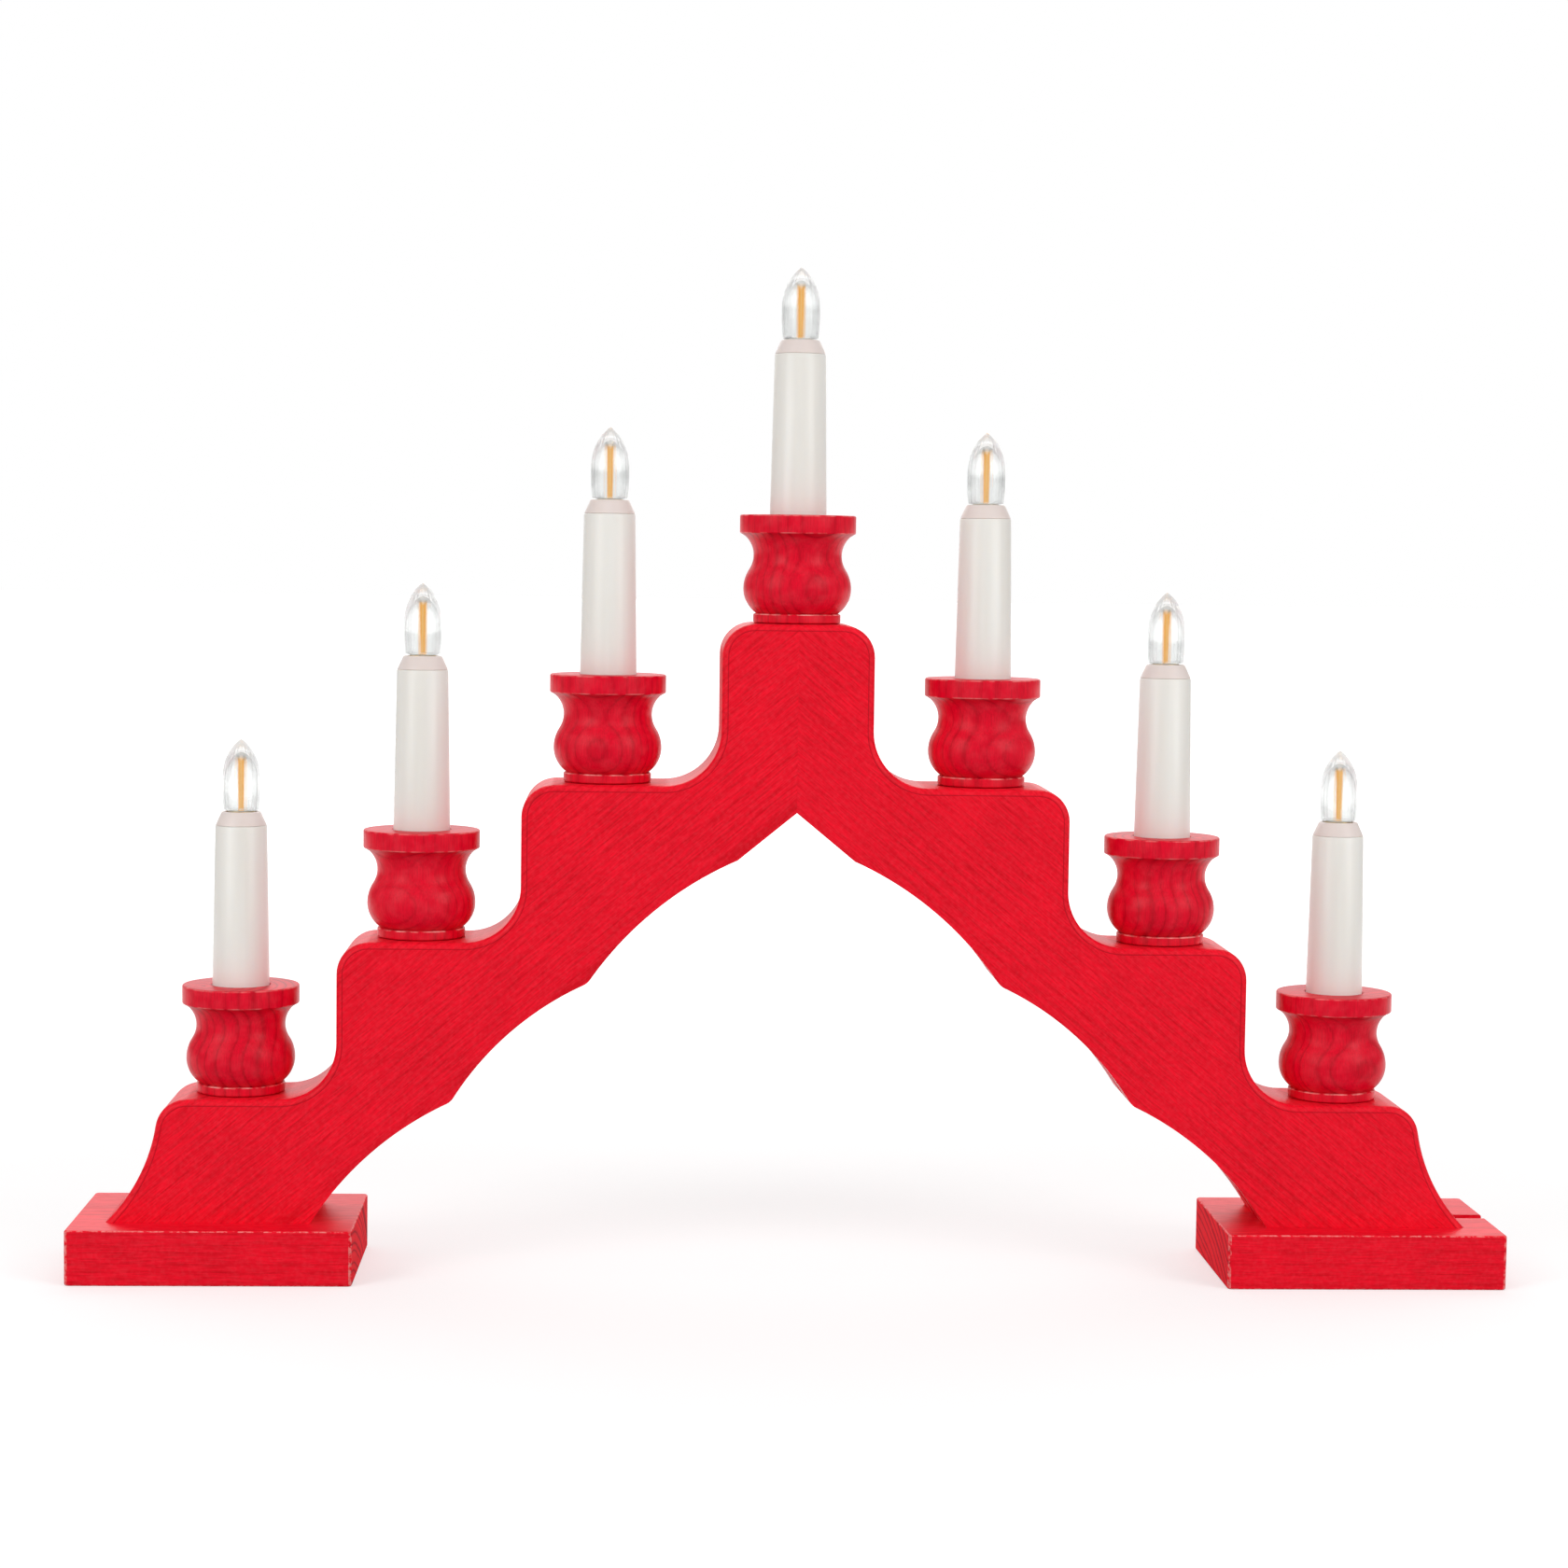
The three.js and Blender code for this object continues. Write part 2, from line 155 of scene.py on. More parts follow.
def arcTo(centre, sweep, steps):
    bpy.ops.mesh.spin(steps=steps, angle=sweep, axis=(0, 1, 0),
                      center=(centre[0] * mm, 0, centre[1] * mm))
    x, z = pen["x"] - centre[0], pen["z"] - centre[1]
    pen.update(x=centre[0] + x * cos(sweep) - z * sin(sweep),
               z=centre[1] + x * sin(sweep) + z * cos(sweep))


def traceThrough(points):
    for x, z in points:
        lineTo(x, z)


# Turns the traced outline about Z into a closed body
def turnRound(steps):
    bpy.ops.mesh.select_all(action="SELECT")
    bpy.ops.mesh.spin(steps=steps, angle=tau, center=(0, 0, 0), axis=(0, 0, 1))
    closeUp()
    bpy.ops.object.mode_set(mode="OBJECT")
    return bpy.context.object


# Closes the traced outline and gives it a thickness towards +Y
def thicken(depth):
    weld()
    bpy.ops.mesh.edge_face_add()
    extrudeBy(0, depth, 0)
    closeUp()


def cutAway(piece, cutters):
    for cutter in cutters:
        applyModifier(piece, "BOOLEAN", operation="DIFFERENCE", solver="EXACT", object=cutter)
        bpy.data.objects.remove(cutter)


# Straight drill bit between two points
def drill(name, radius, start, end, steps=32):
    start, end = Vector(start) * mm, Vector(end) * mm
    deselectAll()
    bpy.ops.mesh.primitive_cylinder_add(
        vertices=steps, radius=radius * mm, depth=(end - start).length, location=(start + end) / 2,
        rotation=(end - start).to_track_quat("Z", "Y").to_euler())
    bpy.context.object.name = name
    return bpy.context.object


def joined(name, parts):
    deselectAll()
    for part in parts:
        part.select_set(True)
    bpy.context.view_layer.objects.active = parts[0]
    if len(parts) > 1:
        bpy.ops.object.join()
    bpy.context.object.name = name
    applyPlace()
    return bpy.context.object


# Node trees. A link that names a node takes its first output

def addNode(tree, kind, settings=None, links=None):
    made = tree.nodes.new("ShaderNode" + kind)
    for key, value in (settings or {}).items():
        if key == "stops":
            ramp = made.color_ramp.elements
            while len(ramp) < len(value):
                ramp.new(1)
            for stop, (place, colour) in zip(ramp, value):
                stop.position = place
                stop.color = toLinear(colour)
        elif isinstance(key, int) or key in made.inputs:
            made.inputs[key].default_value = value
        else:
            setattr(made, key, value)
    for key, source in (links or {}).items():
        socket = source.outputs[0] if isinstance(source, bpy.types.Node) else source
        tree.links.new(socket, made.inputs[key])
    return made


# Carries a value from one range to another
def mapRange(tree, source, start, end, low=0.0, high=1.0):
    return addNode(tree, "MapRange", {"From Min": start, "From Max": end, "To Min": low,
                                      "To Max": high}, {"Value": source})


# Mixes two numbers or colours by a share; each is fixed or comes from a node
def mix(tree, share, first, second, kind="RGBA"):
    at, out = {"FLOAT": (2, 0), "RGBA": (6, 2)}[kind]
    ends = {at: first, at + 1: second}
    fixed = {socket: end for socket, end in ends.items() if isinstance(end, (float, tuple))}
    linked = {socket: end for socket, end in ends.items() if socket not in fixed}
    return addNode(tree, "Mix", {"data_type": kind, **fixed}, {0: share, **linked}).outputs[out]


def newMaterial(name):
    material = bpy.data.materials.new(name)
    material.use_nodes = True
    material.node_tree.nodes.clear()
    return material, material.node_tree


def finishMaterial(tree, settings, links):
    shader = addNode(tree, "BsdfPrincipled", settings, links)
    addNode(tree, "OutputMaterial", {}, {"Surface": shader.outputs["BSDF"]})


# Stained and varnished pine. The latewood lines stay a little darker under the stain and come
# and go along the board; the varnish lies thin, so the fibres still break up the shine. Pale
# patches at random are partly uneven stain and partly painted highlight for that broken shine,
# and stain is rubbed off sharp edges. A dark line where the round-over meets the face is painted
# shade, standing in for the shadow of the router's step.
pineLook = {
    "ringGap": 3.3,         # mm from one latewood line to the next
    "drift": 2.4,           # mm that the rings wander along the trunk
    "driftRate": (0.01, 0.05, 0.05),    # per mm, along and across
    "yearRate": 0.45,       # good and poor years, per ring
    "yearSpread": 1.6,
    "ringDepth": 0.6,
    "patchRate": 0.035,     # per mm, where the rings fade
    "blotchRate": 0.06,
    "fibreGap": 0.55,       # mm between fibre streaks, coarser than real so that they show
    "fibreLong": 7,
    "fibreDepth": 0.8,
    "early": "#FC102C",
    "late": "#D8041C",
    "endEarly": "#FC2030",
    "endLate": "#A80A1E",
    "roughness": 0.36,
    "endRoughness": 0.8,    # sawn ends drink the varnish and stay dull
    "gloss": 0.12,
    "relief": 0.05,         # mm
    "ripple": 0.4,          # broad unevenness of the varnish, as a share of the fibres' height
    "rippleRate": 0.3,
    "mottle": 0.12,         # how far the pale patches, partly uneven stain and partly painted highlight, go towards the paler red
    "mottleWide": 1.4,      # mm across such a patch
    "sheenPatch": "#F4505C",
    "rubbed": "#F49692",
    # dark red of the painted shade line at the router's step
    "paintedStepShade": "#9E0818",
}
turnedLook = {
    **pineLook,
    "ringGap": 3.4, "drift": 1.6, "ringDepth": 0.7,
    "fibreGap": 0.5, "fibreLong": 5, "fibreDepth": 0.5,
    "relief": 0.09, "ripple": 2.4, "mottle": 0.15, "mottleWide": 4,
    "early": "#EC082C", "late": "#BC041E", "endEarly": "#E01028", "endLate": "#AC031A",
    "roughness": 0.32, "endRoughness": 0.4,
}


def stainedWood(name, look):
    material, tree = newMaterial(name)
    place = addNode(tree, "Attribute", {"attribute_name": "grain"}).outputs["Vector"]
    endOn = addNode(tree, "Attribute", {"attribute_name": "endGrain"}).outputs["Fac"]

    slow = addNode(tree, "VectorMath", {"operation": "MULTIPLY", 1: look["driftRate"]}, {0: place})
    wander = addNode(tree, "TexNoise", {"Scale": 1.0, "Detail": 2.0}, {"Vector": slow})
    shift = addNode(tree, "VectorMath",
                    {"operation": "MULTIPLY_ADD", 1: (0, look["drift"], look["drift"])},
                    {0: wander.outputs["Color"], 2: place})
    across = addNode(tree, "VectorMath", {"operation": "MULTIPLY", 1: (0, 1, 1)}, {0: shift})
    radius = addNode(tree, "VectorMath", {"operation": "LENGTH"}, {0: across})
    count = addNode(tree, "Math", {"operation": "DIVIDE", 1: look["ringGap"]},
                    {0: radius.outputs["Value"]})
    years = addNode(tree, "TexNoise",
                    {"noise_dimensions": "1D", "Scale": look["yearRate"], "Detail": 1.0},
                    {"W": count})
    spaced = addNode(tree, "Math", {"operation": "MULTIPLY_ADD", 1: look["yearSpread"]},
                     {0: years.outputs["Fac"], 2: count})
    phase = addNode(tree, "Math", {"operation": "FRACT"}, {0: spaced})
    ring = addNode(tree, "ValToRGB", {"stops": [
        (0.0, "#909090"), (0.2, "#303030"), (0.5, "#404040"), (0.75, "#A0A0A0"), (0.88, "#FFFFFF"),
        (1.0, "#B0B0B0")]}, {"Fac": phase})

    fine = 1 / look["fibreGap"]
    thread = addNode(tree, "VectorMath",
                     {"operation": "MULTIPLY", 1: (1 / look["fibreLong"], fine, fine)}, {0: place})
    fibre = addNode(tree, "TexNoise", {"Scale": 1.0, "Detail": 3.0, "Roughness": 0.6},
                    {"Vector": thread})
    blotch = addNode(tree, "TexNoise", {"Scale": look["blotchRate"], "Detail": 3.0},
                     {"Vector": place})

    patches = addNode(tree, "TexNoise", {"Scale": look["patchRate"], "Detail": 2.0},
                      {"Vector": place})
    fading = mapRange(tree, patches, 0.38, 0.62, 0.3 * look["ringDepth"], look["ringDepth"])
    ringStrength = addNode(tree, "Math", {"operation": "MULTIPLY"},
                           {0: ring.outputs["Color"], 1: fading})
    streak = mapRange(tree, fibre, 0.35, 0.7, 0.0, look["fibreDepth"])
    dark = addNode(tree, "Math", {"operation": "ADD", "use_clamp": True},
                   {0: ringStrength, 1: streak})
    early, late, endEarly, endLate = (
        toLinear(look[key]) for key in ("early", "late", "endEarly", "endLate"))
    endMask = mapRange(tree, endOn, 0.55, 0.95)
    wood = mix(tree, endMask, mix(tree, dark, early, late), mix(tree, ring, endEarly, endLate))
    tone = mapRange(tree, blotch, 0.3, 0.7, 0.94, 1.03)
    plain = addNode(tree, "HueSaturation", {}, {"Value": tone, "Color": wood})

    # Pale patches at random: partly uneven stain, partly painted highlight for the varnish's mottled
    # shine
    crumbs = addNode(tree, "TexNoise", {"Scale": 1 / look["mottleWide"], "Detail": 3.0},
                     {"Vector": place})
    sparse = mapRange(tree, crumbs, 0.42, 0.68, 0.0, look["mottle"])
    mottled = mix(tree, sparse, plain, toLinear(look["sheenPatch"]))
    wear = addNode(tree, "Attribute", {"attribute_name": "wear"}).outputs["Fac"]
    # painted shade: darkens the line where the round-over meets the face, for the router step's
    # shadow
    stepShading = addNode(tree, "Math", {"operation": "MULTIPLY", 1: -0.8, "use_clamp": True},
                      {0: wear})
    paintedStepShade = mix(tree, stepShading, mottled, toLinear(look["paintedStepShade"]))
    bare = mapRange(tree, crumbs, 0.42, 0.62)
    rubbing = addNode(tree, "Math", {"operation": "MULTIPLY", "use_clamp": True},
                      {0: wear, 1: bare})
    colour = mix(tree, rubbing, paintedStepShade, toLinear(look["rubbed"]))

    varnish = mapRange(tree, fibre, 0.0, 1.0, look["roughness"] - 0.06, look["roughness"] + 0.12)
    rough = mix(tree, endMask, varnish, look["endRoughness"], "FLOAT")
    waves = addNode(tree, "TexNoise", {"Scale": look["rippleRate"], "Detail": 2.0},
                    {"Vector": place})
    uneven = addNode(tree, "Math", {"operation": "MULTIPLY_ADD", 1: look["ripple"]},
                     {0: waves.outputs["Fac"], 2: fibre.outputs["Fac"]})
    relief = addNode(tree, "Math", {"operation": "MULTIPLY_ADD", 1: 0.6},
                     {0: ring.outputs["Color"], 2: uneven})
    bump = addNode(tree, "Bump", {"Strength": 0.35, "Distance": look["relief"] * mm},
                   {"Height": relief})
    finishMaterial(tree, {"IOR": 1.5, "Specular IOR Level": look["gloss"]},
                   {"Base Color": colour, "Roughness": rough, "Normal": bump})
    return material


# Unstained pine where the cord slot and the drillings were cut after staining; a band a hair's
# breadth deep at the top of the walls, just under the foot's top edge, is dark red
def barePine():
    material, tree = newMaterial("barePine")
    where = addNode(tree, "TexCoord").outputs["Object"]
    stretch = addNode(tree, "VectorMath",
                      {"operation": "MULTIPLY", 1: (60, 1400, 1400)}, {0: where})
    fibre = addNode(tree, "TexNoise", {"Scale": 1.0, "Detail": 3.0}, {"Vector": stretch})
    pale = addNode(tree, "ValToRGB", {"stops": [(0.3, "#E9D9B8"), (0.7, "#CDB48A")]},
                   {"Fac": fibre.outputs["Fac"]})
    height = addNode(tree, "SeparateXYZ", {}, {0: where}).outputs["Z"]
    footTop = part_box("foot_right")[1].z
    # dark red from 0.3 mm under the foot's top upwards
    nearTop = mapRange(tree, height, footTop - 0.35 * mm, footTop - 0.25 * mm)
    above = addNode(tree, "Math", {"operation": "LESS_THAN", 1: footTop + 0.1 * mm}, {0: height})
    darkTop = addNode(tree, "Math", {"operation": "MULTIPLY"}, {0: nearTop, 1: above})
    colour = mix(tree, darkTop, pale, toLinear("#A81C28"))
    finishMaterial(tree, {"Roughness": 0.75}, {"Base Color": colour})
    return material


redPine = stainedWood("stainedPine", pineLook)
redTurned = stainedWood("stainedTurnedBirch", turnedLook)
rawPine = barePine()
print("wood materials made")


# Stores where each point sat in the tree, x up the trunk, and how far each corner faces along it
def layGrain(piece, along, pith, centre=(0, 0, 0)):
    along = Vector(along).normalized()
    side = along.cross((0, 1, 0)).normalized()
    turn = Matrix((along, along.cross(side), side))
    grain = piece.data.attributes.new("grain", "FLOAT_VECTOR", "POINT")
    for vertex, place in zip(piece.data.vertices, grain.data):
        place.vector = turn @ ((vertex.co / mm) - Vector(centre)) - Vector(pith)
    ends = piece.data.attributes.new("endGrain", "FLOAT", "CORNER")
    for corner, end in zip(piece.data.corner_normals, ends.data):
        end.value = abs(corner.vector.dot(along))


# Stores how far stain is rubbed off at each corner of each face, and where negative, how dark
# the painted shade line at the router's step is
def layWearAndShade(piece, wearAndShadeAt):
    wear = piece.data.attributes.new("wear", "FLOAT", "CORNER")
    for face in piece.data.polygons:
        for corner, index in zip(face.loop_indices, face.vertices):
            wear.data[corner].value = wearAndShadeAt(face.normal, piece.data.vertices[index].co / mm)


# Places that come from the frame, in millimetres

cupTenon = 8
cupLow = [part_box(f"cup_{number}")[0] / mm for number in range(1, 8)]
cupHigh = [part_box(f"cup_{number}")[1] / mm for number in range(1, 8)]
cupPlaces = [((low.x + high.x) / 2, low.z + cupTenon) for low, high in zip(cupLow, cupHigh)]
cupX = [cupPlaces[index][0] for index in range(3, 7)]       # middle of the arch outwards
shelfZ = [cupPlaces[index][1] for index in range(3, 7)]
cupHeight = cupHigh[0].z - cupPlaces[0][1]
footLow, footHigh = (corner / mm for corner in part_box("foot_right"))
dowelBoxes = [[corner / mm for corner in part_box(f"dowel_{number}")] for number in (1, 2)]
screwBoxes = [[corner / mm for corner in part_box(f"screw_right_{row}")] for row in ("front", "back")]
screwSpots = [((low.x + high.x) / 2, (low.y + high.y) / 2) for low, high in screwBoxes]
screwLow, screwHigh = screwBoxes[0][0].z, screwBoxes[0][1].z

# Arch boards, in millimetres
board = {
    "thick": 40,
    "roundOver": 2.3,
    "crownHalf": 26,
    "shoulders": (28.9, 27.5),
    "endReach": 26,
    "corner": 11,
    "hollow": 19.2,
    "endRadius": 60,
    "seamHeight": 64.1,
    "apexRun": 20,
    "apexDrop": 16.4,
    "scallopSag": 4.7,
    "cuspIn": (23, 39.1),
    "cuspDrop": (13.4, 0.2),
    "cuspEase": 1.5,
    "spare": 4,            # left on below the foot until the round-over is done, then sawn off
    "heelIn": 25.8,
    "channelWide": 6,
    "channelDeep": 6.5,
    "wayRadius": 3.2,
    "seatRadius": 7.3,
    "seatDeep": 8.3,
    "dowelHole": 4.3,
    "pilotHole": 2.4,
    "endGap": 0.3,         # hole beyond a dowel or screw
    "grainTilt": 40,       # degrees, falling outwards as each board does
    "piths": ((0, 52, 30), (0, 48, -24)),
}
risers = [board["crownHalf"], cupX[1] + board["shoulders"][0], cupX[2] + board["shoulders"][1]]
apexZ = shelfZ[0] - board["seamHeight"]
heelX = cupX[3] - board["heelIn"]
cusps = [(risers[1] - board["cuspIn"][0], shelfZ[2] - board["cuspDrop"][0]),
         (risers[2] - board["cuspIn"][1], shelfZ[3] - board["cuspDrop"][1])]
underside = [(board["apexRun"], apexZ - board["apexDrop"]), *cusps, (heelX, footHigh.z)]


# One scallop from a to b, bowing to the left of the way there
def scallopTo(side, a, b, lift=0.0, steps=20):
    chord = hypot(b[0] - a[0], b[1] - a[1])
    sag = board["scallopSag"]
    radius = chord ** 2 / (8 * sag) + sag / 2
    left = (-(b[1] - a[1]) / chord, (b[0] - a[0]) / chord)
    if b[0] < a[0]:
        left = (-left[0], -left[1])
    centre = ((a[0] + b[0]) / 2 - left[0] * (radius - sag),
              (a[1] + b[1]) / 2 - left[1] * (radius - sag))
    sweep = -2 * asin(chord / (2 * radius)) * (1 if b[0] > a[0] else -1)
    arcTo((side * centre[0], centre[1] + lift), side * sweep, steps)


def traceUnderside(side):
    lineTo(side * board["apexRun"], apexZ - board["apexDrop"])
    for a, b in zip(underside, underside[1:]):
        scallopTo(side, a, b)


def traceUpperEdge(side):
    corner, hollow, endRadius = board["corner"], board["hollow"], board["endRadius"]
    endCentre = (cupX[3] + board["endReach"] + endRadius, shelfZ[3])
    reach = sqrt((endRadius + corner) ** 2 - corner ** 2)
    endCorner = (endCentre[0] - reach, shelfZ[3] - corner)
    low = footHigh.z - board["spare"]
    tip = asin((shelfZ[3] - low) / endRadius)
    touch = atan2(corner, reach)
    lineTo(side * heelX, low)
    lineTo(side * (endCentre[0] - endRadius * cos(tip)), low)
    arcTo((side * endCentre[0], endCentre[1]), side * (touch - tip), 20)
    arcTo((side * endCorner[0], endCorner[1]), side * (pi / 2 - touch), 12)
    for tier in (2, 1, 0):
        lineTo(side * (risers[tier] + hollow), shelfZ[tier + 1])
        arcTo((side * (risers[tier] + hollow), shelfZ[tier + 1] + hollow), side * -pi / 2, 16)
        lineTo(side * risers[tier], shelfZ[tier] - corner)
        arcTo((side * (risers[tier] - corner), shelfZ[tier] - corner), side * pi / 2, 12)
    lineTo(0, shelfZ[0])


def isUpperSide(face, side):
    normal = face.normal
    return abs(normal.y) < 0.5 and normal.x * side > -0.05 and normal.z > -0.05


def archBoard(name, side):
    startAt(name, 0, apexZ, -board["thick"] / 2)
    traceUnderside(side)
    traceUpperEdge(side)
    thicken(board["thick"])
    pick("edges", lambda edge: abs(edge.verts[0].co.y - edge.verts[1].co.y) > mm and any(
        hypot(abs(edge.verts[0].co.x) - x * mm, edge.verts[0].co.z - z * mm) < 0.1 * mm
        for x, z in cusps))
    bpy.ops.mesh.bevel(offset=board["cuspEase"] * mm, segments=4, profile=0.5, affect="EDGES")
    pick("edges", lambda edge: abs(edge.verts[0].co.y - edge.verts[1].co.y) < 0.01 * mm and any(
        isUpperSide(face, side) for face in edge.link_faces) and any(
        abs(face.normal.y) > 0.9 for face in edge.link_faces))
    bpy.ops.mesh.bevel(offset=board["roundOver"] * mm, segments=6, profile=0.5, affect="EDGES")
    bpy.ops.mesh.select_all(action="SELECT")
    bpy.ops.mesh.bisect(
        plane_co=(0, 0, footHigh.z * mm), plane_no=(0, 0, 1), use_fill=True, clear_inner=True)
    bpy.ops.object.mode_set(mode="OBJECT")
    piece = bpy.context.object
    piece.data.materials.append(redPine)
    cutAway(piece, boardCutters(name, side))
    smooth(piece)
    applyModifier(piece, "WEIGHTED_NORMAL", keep_sharp=True)
    return piece


# The cable channel under the board, and drillings for cups, dowels and screws
def boardCutters(name, side):
    over = 1    # how far a cutter runs past the face that it opens
    deep = board["channelDeep"]
    gap = board["endGap"]
    low = footHigh.z - over
    wayEnd = cupX[3] + board["wayRadius"]
    startAt(name + "Channel", -side * over, apexZ - over, -board["channelWide"] / 2)
    lineTo(0, apexZ - over)
    lineTo(side * board["apexRun"], apexZ - board["apexDrop"] - over)
    for a, b in zip(underside, underside[1:]):
        scallopTo(side, a, b, lift=-over)
    lineTo(side * wayEnd, low)
    lineTo(side * wayEnd, footHigh.z + deep)
    lineTo(side * heelX, footHigh.z + deep)
    for a, b in zip(underside[::-1], underside[-2::-1]):
        scallopTo(side, a, b, lift=deep)
    lineTo(0, apexZ + deep)
    lineTo(-side * over, apexZ + deep)
    thicken(board["channelWide"])
    bpy.ops.object.mode_set(mode="OBJECT")
    channel = bpy.context.object
    spots = [(side * x, shelf) for x, shelf in zip(cupX, shelfZ)]
    ways = joined(name + "Ways", [
        drill("way", board["wayRadius"], (x, 0, low), (x, 0, shelf)) for x, shelf in spots])
    seats = [drill("seat", board["seatRadius"], (x, 0, shelf - board["seatDeep"]),
                   (x, 0, shelf + over), 48) for x, shelf in spots]
    for start, end in dowelBoxes:
        y, z = (start.y + end.y) / 2, (start.z + end.z) / 2
        seats.append(drill("dowelHole", board["dowelHole"],
                           (start.x - gap, y, z), (end.x + gap, y, z)))
    for x, y in screwSpots:
        seats.append(drill("pilotHole", board["pilotHole"], (side * x, y, footHigh.z - over),
                           (side * x, y, screwHigh + gap)))
    seats = joined(name + "Seats", seats)
    for cutter in (channel, ways, seats):
        cutter.data.materials.append(rawPine)
    return [channel, ways, seats]


tilt = radians(board["grainTilt"])
for name, node, side, pith in zip(
        ("boardLeft", "boardRight"), ("arch_left", "arch_right"), (-1, 1), board["piths"]):
    piece = archBoard(name, side)
    layGrain(piece, (cos(tilt), 0, -side * sin(tilt)), pith)
    # painted shade line on the corners where the round-over meets each broad face
    layWearAndShade(piece, lambda normal, at: -float(
        0.9 < abs(normal.y) < 0.999 and abs(at.y) > board["thick"] / 2 - 0.01))
    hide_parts(node)
    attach(piece, "stand")
print("arch boards made")


# Feet, in millimetres
footLook = {
    "ease": 0.7, "uprightEase": 1.6, "worn": 0.7,
    "slotWide": 6, "slotDeep": 5,
    "headHole": 4.5, "headSunk": 0.9, "coneTall": 2.6, "shankHole": 2.4,
}


def footBoard(name, node):
    low, high = (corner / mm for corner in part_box(node))
    piece = block(name, low, high)
    bpy.ops.object.mode_set(mode="EDIT")
    pick("edges", lambda edge: abs(edge.verts[0].co.z - edge.verts[1].co.z) > mm)
    bpy.ops.mesh.bevel(offset=footLook["uprightEase"] * mm, segments=5, profile=0.5, affect="EDGES")
    pick("edges", lambda edge: abs(edge.verts[0].co.z - edge.verts[1].co.z) < 0.01 * mm)
    bpy.ops.mesh.bevel(offset=footLook["ease"] * mm, segments=4, profile=0.5, affect="EDGES")
    bpy.ops.object.mode_set(mode="OBJECT")
    piece.data.materials.append(redPine)
    return piece


# Countersunk clearance hole for a screw
def countersink(x, y):
    f = footLook
    startAt("countersink", 0, -1)
    traceThrough([(f["headHole"], -1), (f["headHole"], f["headSunk"]),
                  (f["shankHole"], f["headSunk"] + f["coneTall"]), (f["shankHole"], footHigh.z + 1),
                  (0, footHigh.z + 1)])
    made = turnRound(32)
    made.location = (x * mm, y * mm, 0)
    applyPlace()
    made.data.materials.append(rawPine)
    return made


def cordSlotCutter():
    half = footLook["slotWide"] / 2
    made = block(
        "cordSlot", (cupX[3] - board["wayRadius"], -half, footHigh.z - footLook["slotDeep"]),
        (footHigh.x + 1, half, footHigh.z + 1))
    made.data.materials.append(rawPine)
    return made


footRight = footBoard("footRight", "foot_right")
cutAway(footRight, [cordSlotCutter()] + [countersink(x, y) for x, y in screwSpots])
footLeft = footBoard("footLeft", "foot_left")
cutAway(footLeft, [countersink(-x, y) for x, y in screwSpots])
for piece, node, pith in (
        (footLeft, "foot_left", (0, 40, -70)), (footRight, "foot_right", (0, -40, -130))):
    smooth(piece)
    applyModifier(piece, "WEIGHTED_NORMAL", keep_sharp=True)
    layGrain(piece, (1, 0, 0), pith)
    layWearAndShade(piece, lambda normal, at: footLook["worn"] * (max(map(abs, normal)) < 0.93))
    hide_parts(node)
    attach(piece, "stand")
print("feet made")


# Turned cup, in millimetres from its shelf
cup = {
    "rim": 20, "rimTall": 6.5, "rimEase": 0.6,
    "coveShare": 0.58,     # how far out the hollow runs, from the neck to the rim
    "neck": 15.2, "neckBend": 8.75,
    "belly": 18.6, "bellyHeight": 11.9, "bellyBend": 12.3, "bellyLowBend": 10.3,
    "ring": 15.1, "ringTall": 3.3, "ringEase": 0.35,
    "groove": 14.2,
    "tenon": 7, "shoulder": 0.2,    # of the tenon, clear of the shelf
    "seat": 10.05, "seatDeep": 14.3, "seatEase": 0.3, "way": 3.2, "sides": 80,
}


def turnedCup():
    c = cup
    lowCentre = c["belly"] - c["bellyLowBend"]
    grooveTurn = acos((c["groove"] - lowCentre) / c["bellyLowBend"])
    highCentre = c["belly"] - c["bellyBend"]
    neckCentre = c["neck"] + c["neckBend"]
    bends = c["bellyBend"] + c["neckBend"]
    swing = acos((neckCentre - highCentre) / bends)    # where belly and hollow meet smoothly
    coveTurn = acos(1 - c["coveShare"] * (c["rim"] - c["neck"]) / c["neckBend"])
    startAt("cupMaster", c["way"], -cupTenon)
    lineTo(c["tenon"], -cupTenon)
    lineTo(c["tenon"], c["shoulder"])
    lineTo(c["ring"] - c["ringEase"], c["shoulder"])
    lineTo(c["ring"], c["shoulder"] + c["ringEase"])
    lineTo(c["ring"], c["ringTall"] - c["ringEase"])
    arcTo((c["ring"] - c["ringEase"], c["ringTall"] - c["ringEase"]), pi / 2, 3)
    lineTo(c["groove"], c["bellyHeight"] - c["bellyLowBend"] * sin(grooveTurn))
    arcTo((lowCentre, c["bellyHeight"]), grooveTurn, 9)
    arcTo((highCentre, c["bellyHeight"]), swing, 6)
    arcTo((neckCentre, c["bellyHeight"] + bends * sin(swing)), -swing - coveTurn, 13)
    lineTo(c["rim"] - c["rimEase"], cupHeight - c["rimTall"])
    arcTo((c["rim"] - c["rimEase"], cupHeight - c["rimTall"] + c["rimEase"]), pi / 2, 4)
    lineTo(c["rim"], cupHeight - c["rimEase"])
    arcTo((c["rim"] - c["rimEase"], cupHeight - c["rimEase"]), pi / 2, 4)
    lineTo(c["seat"] + c["seatEase"], cupHeight)
    lineTo(c["seat"], cupHeight - c["seatEase"])
    lineTo(c["seat"], cupHeight - c["seatDeep"])
    lineTo(c["way"], cupHeight - c["seatDeep"])
    lineTo(c["way"], -cupTenon)
    return turnRound(c["sides"])


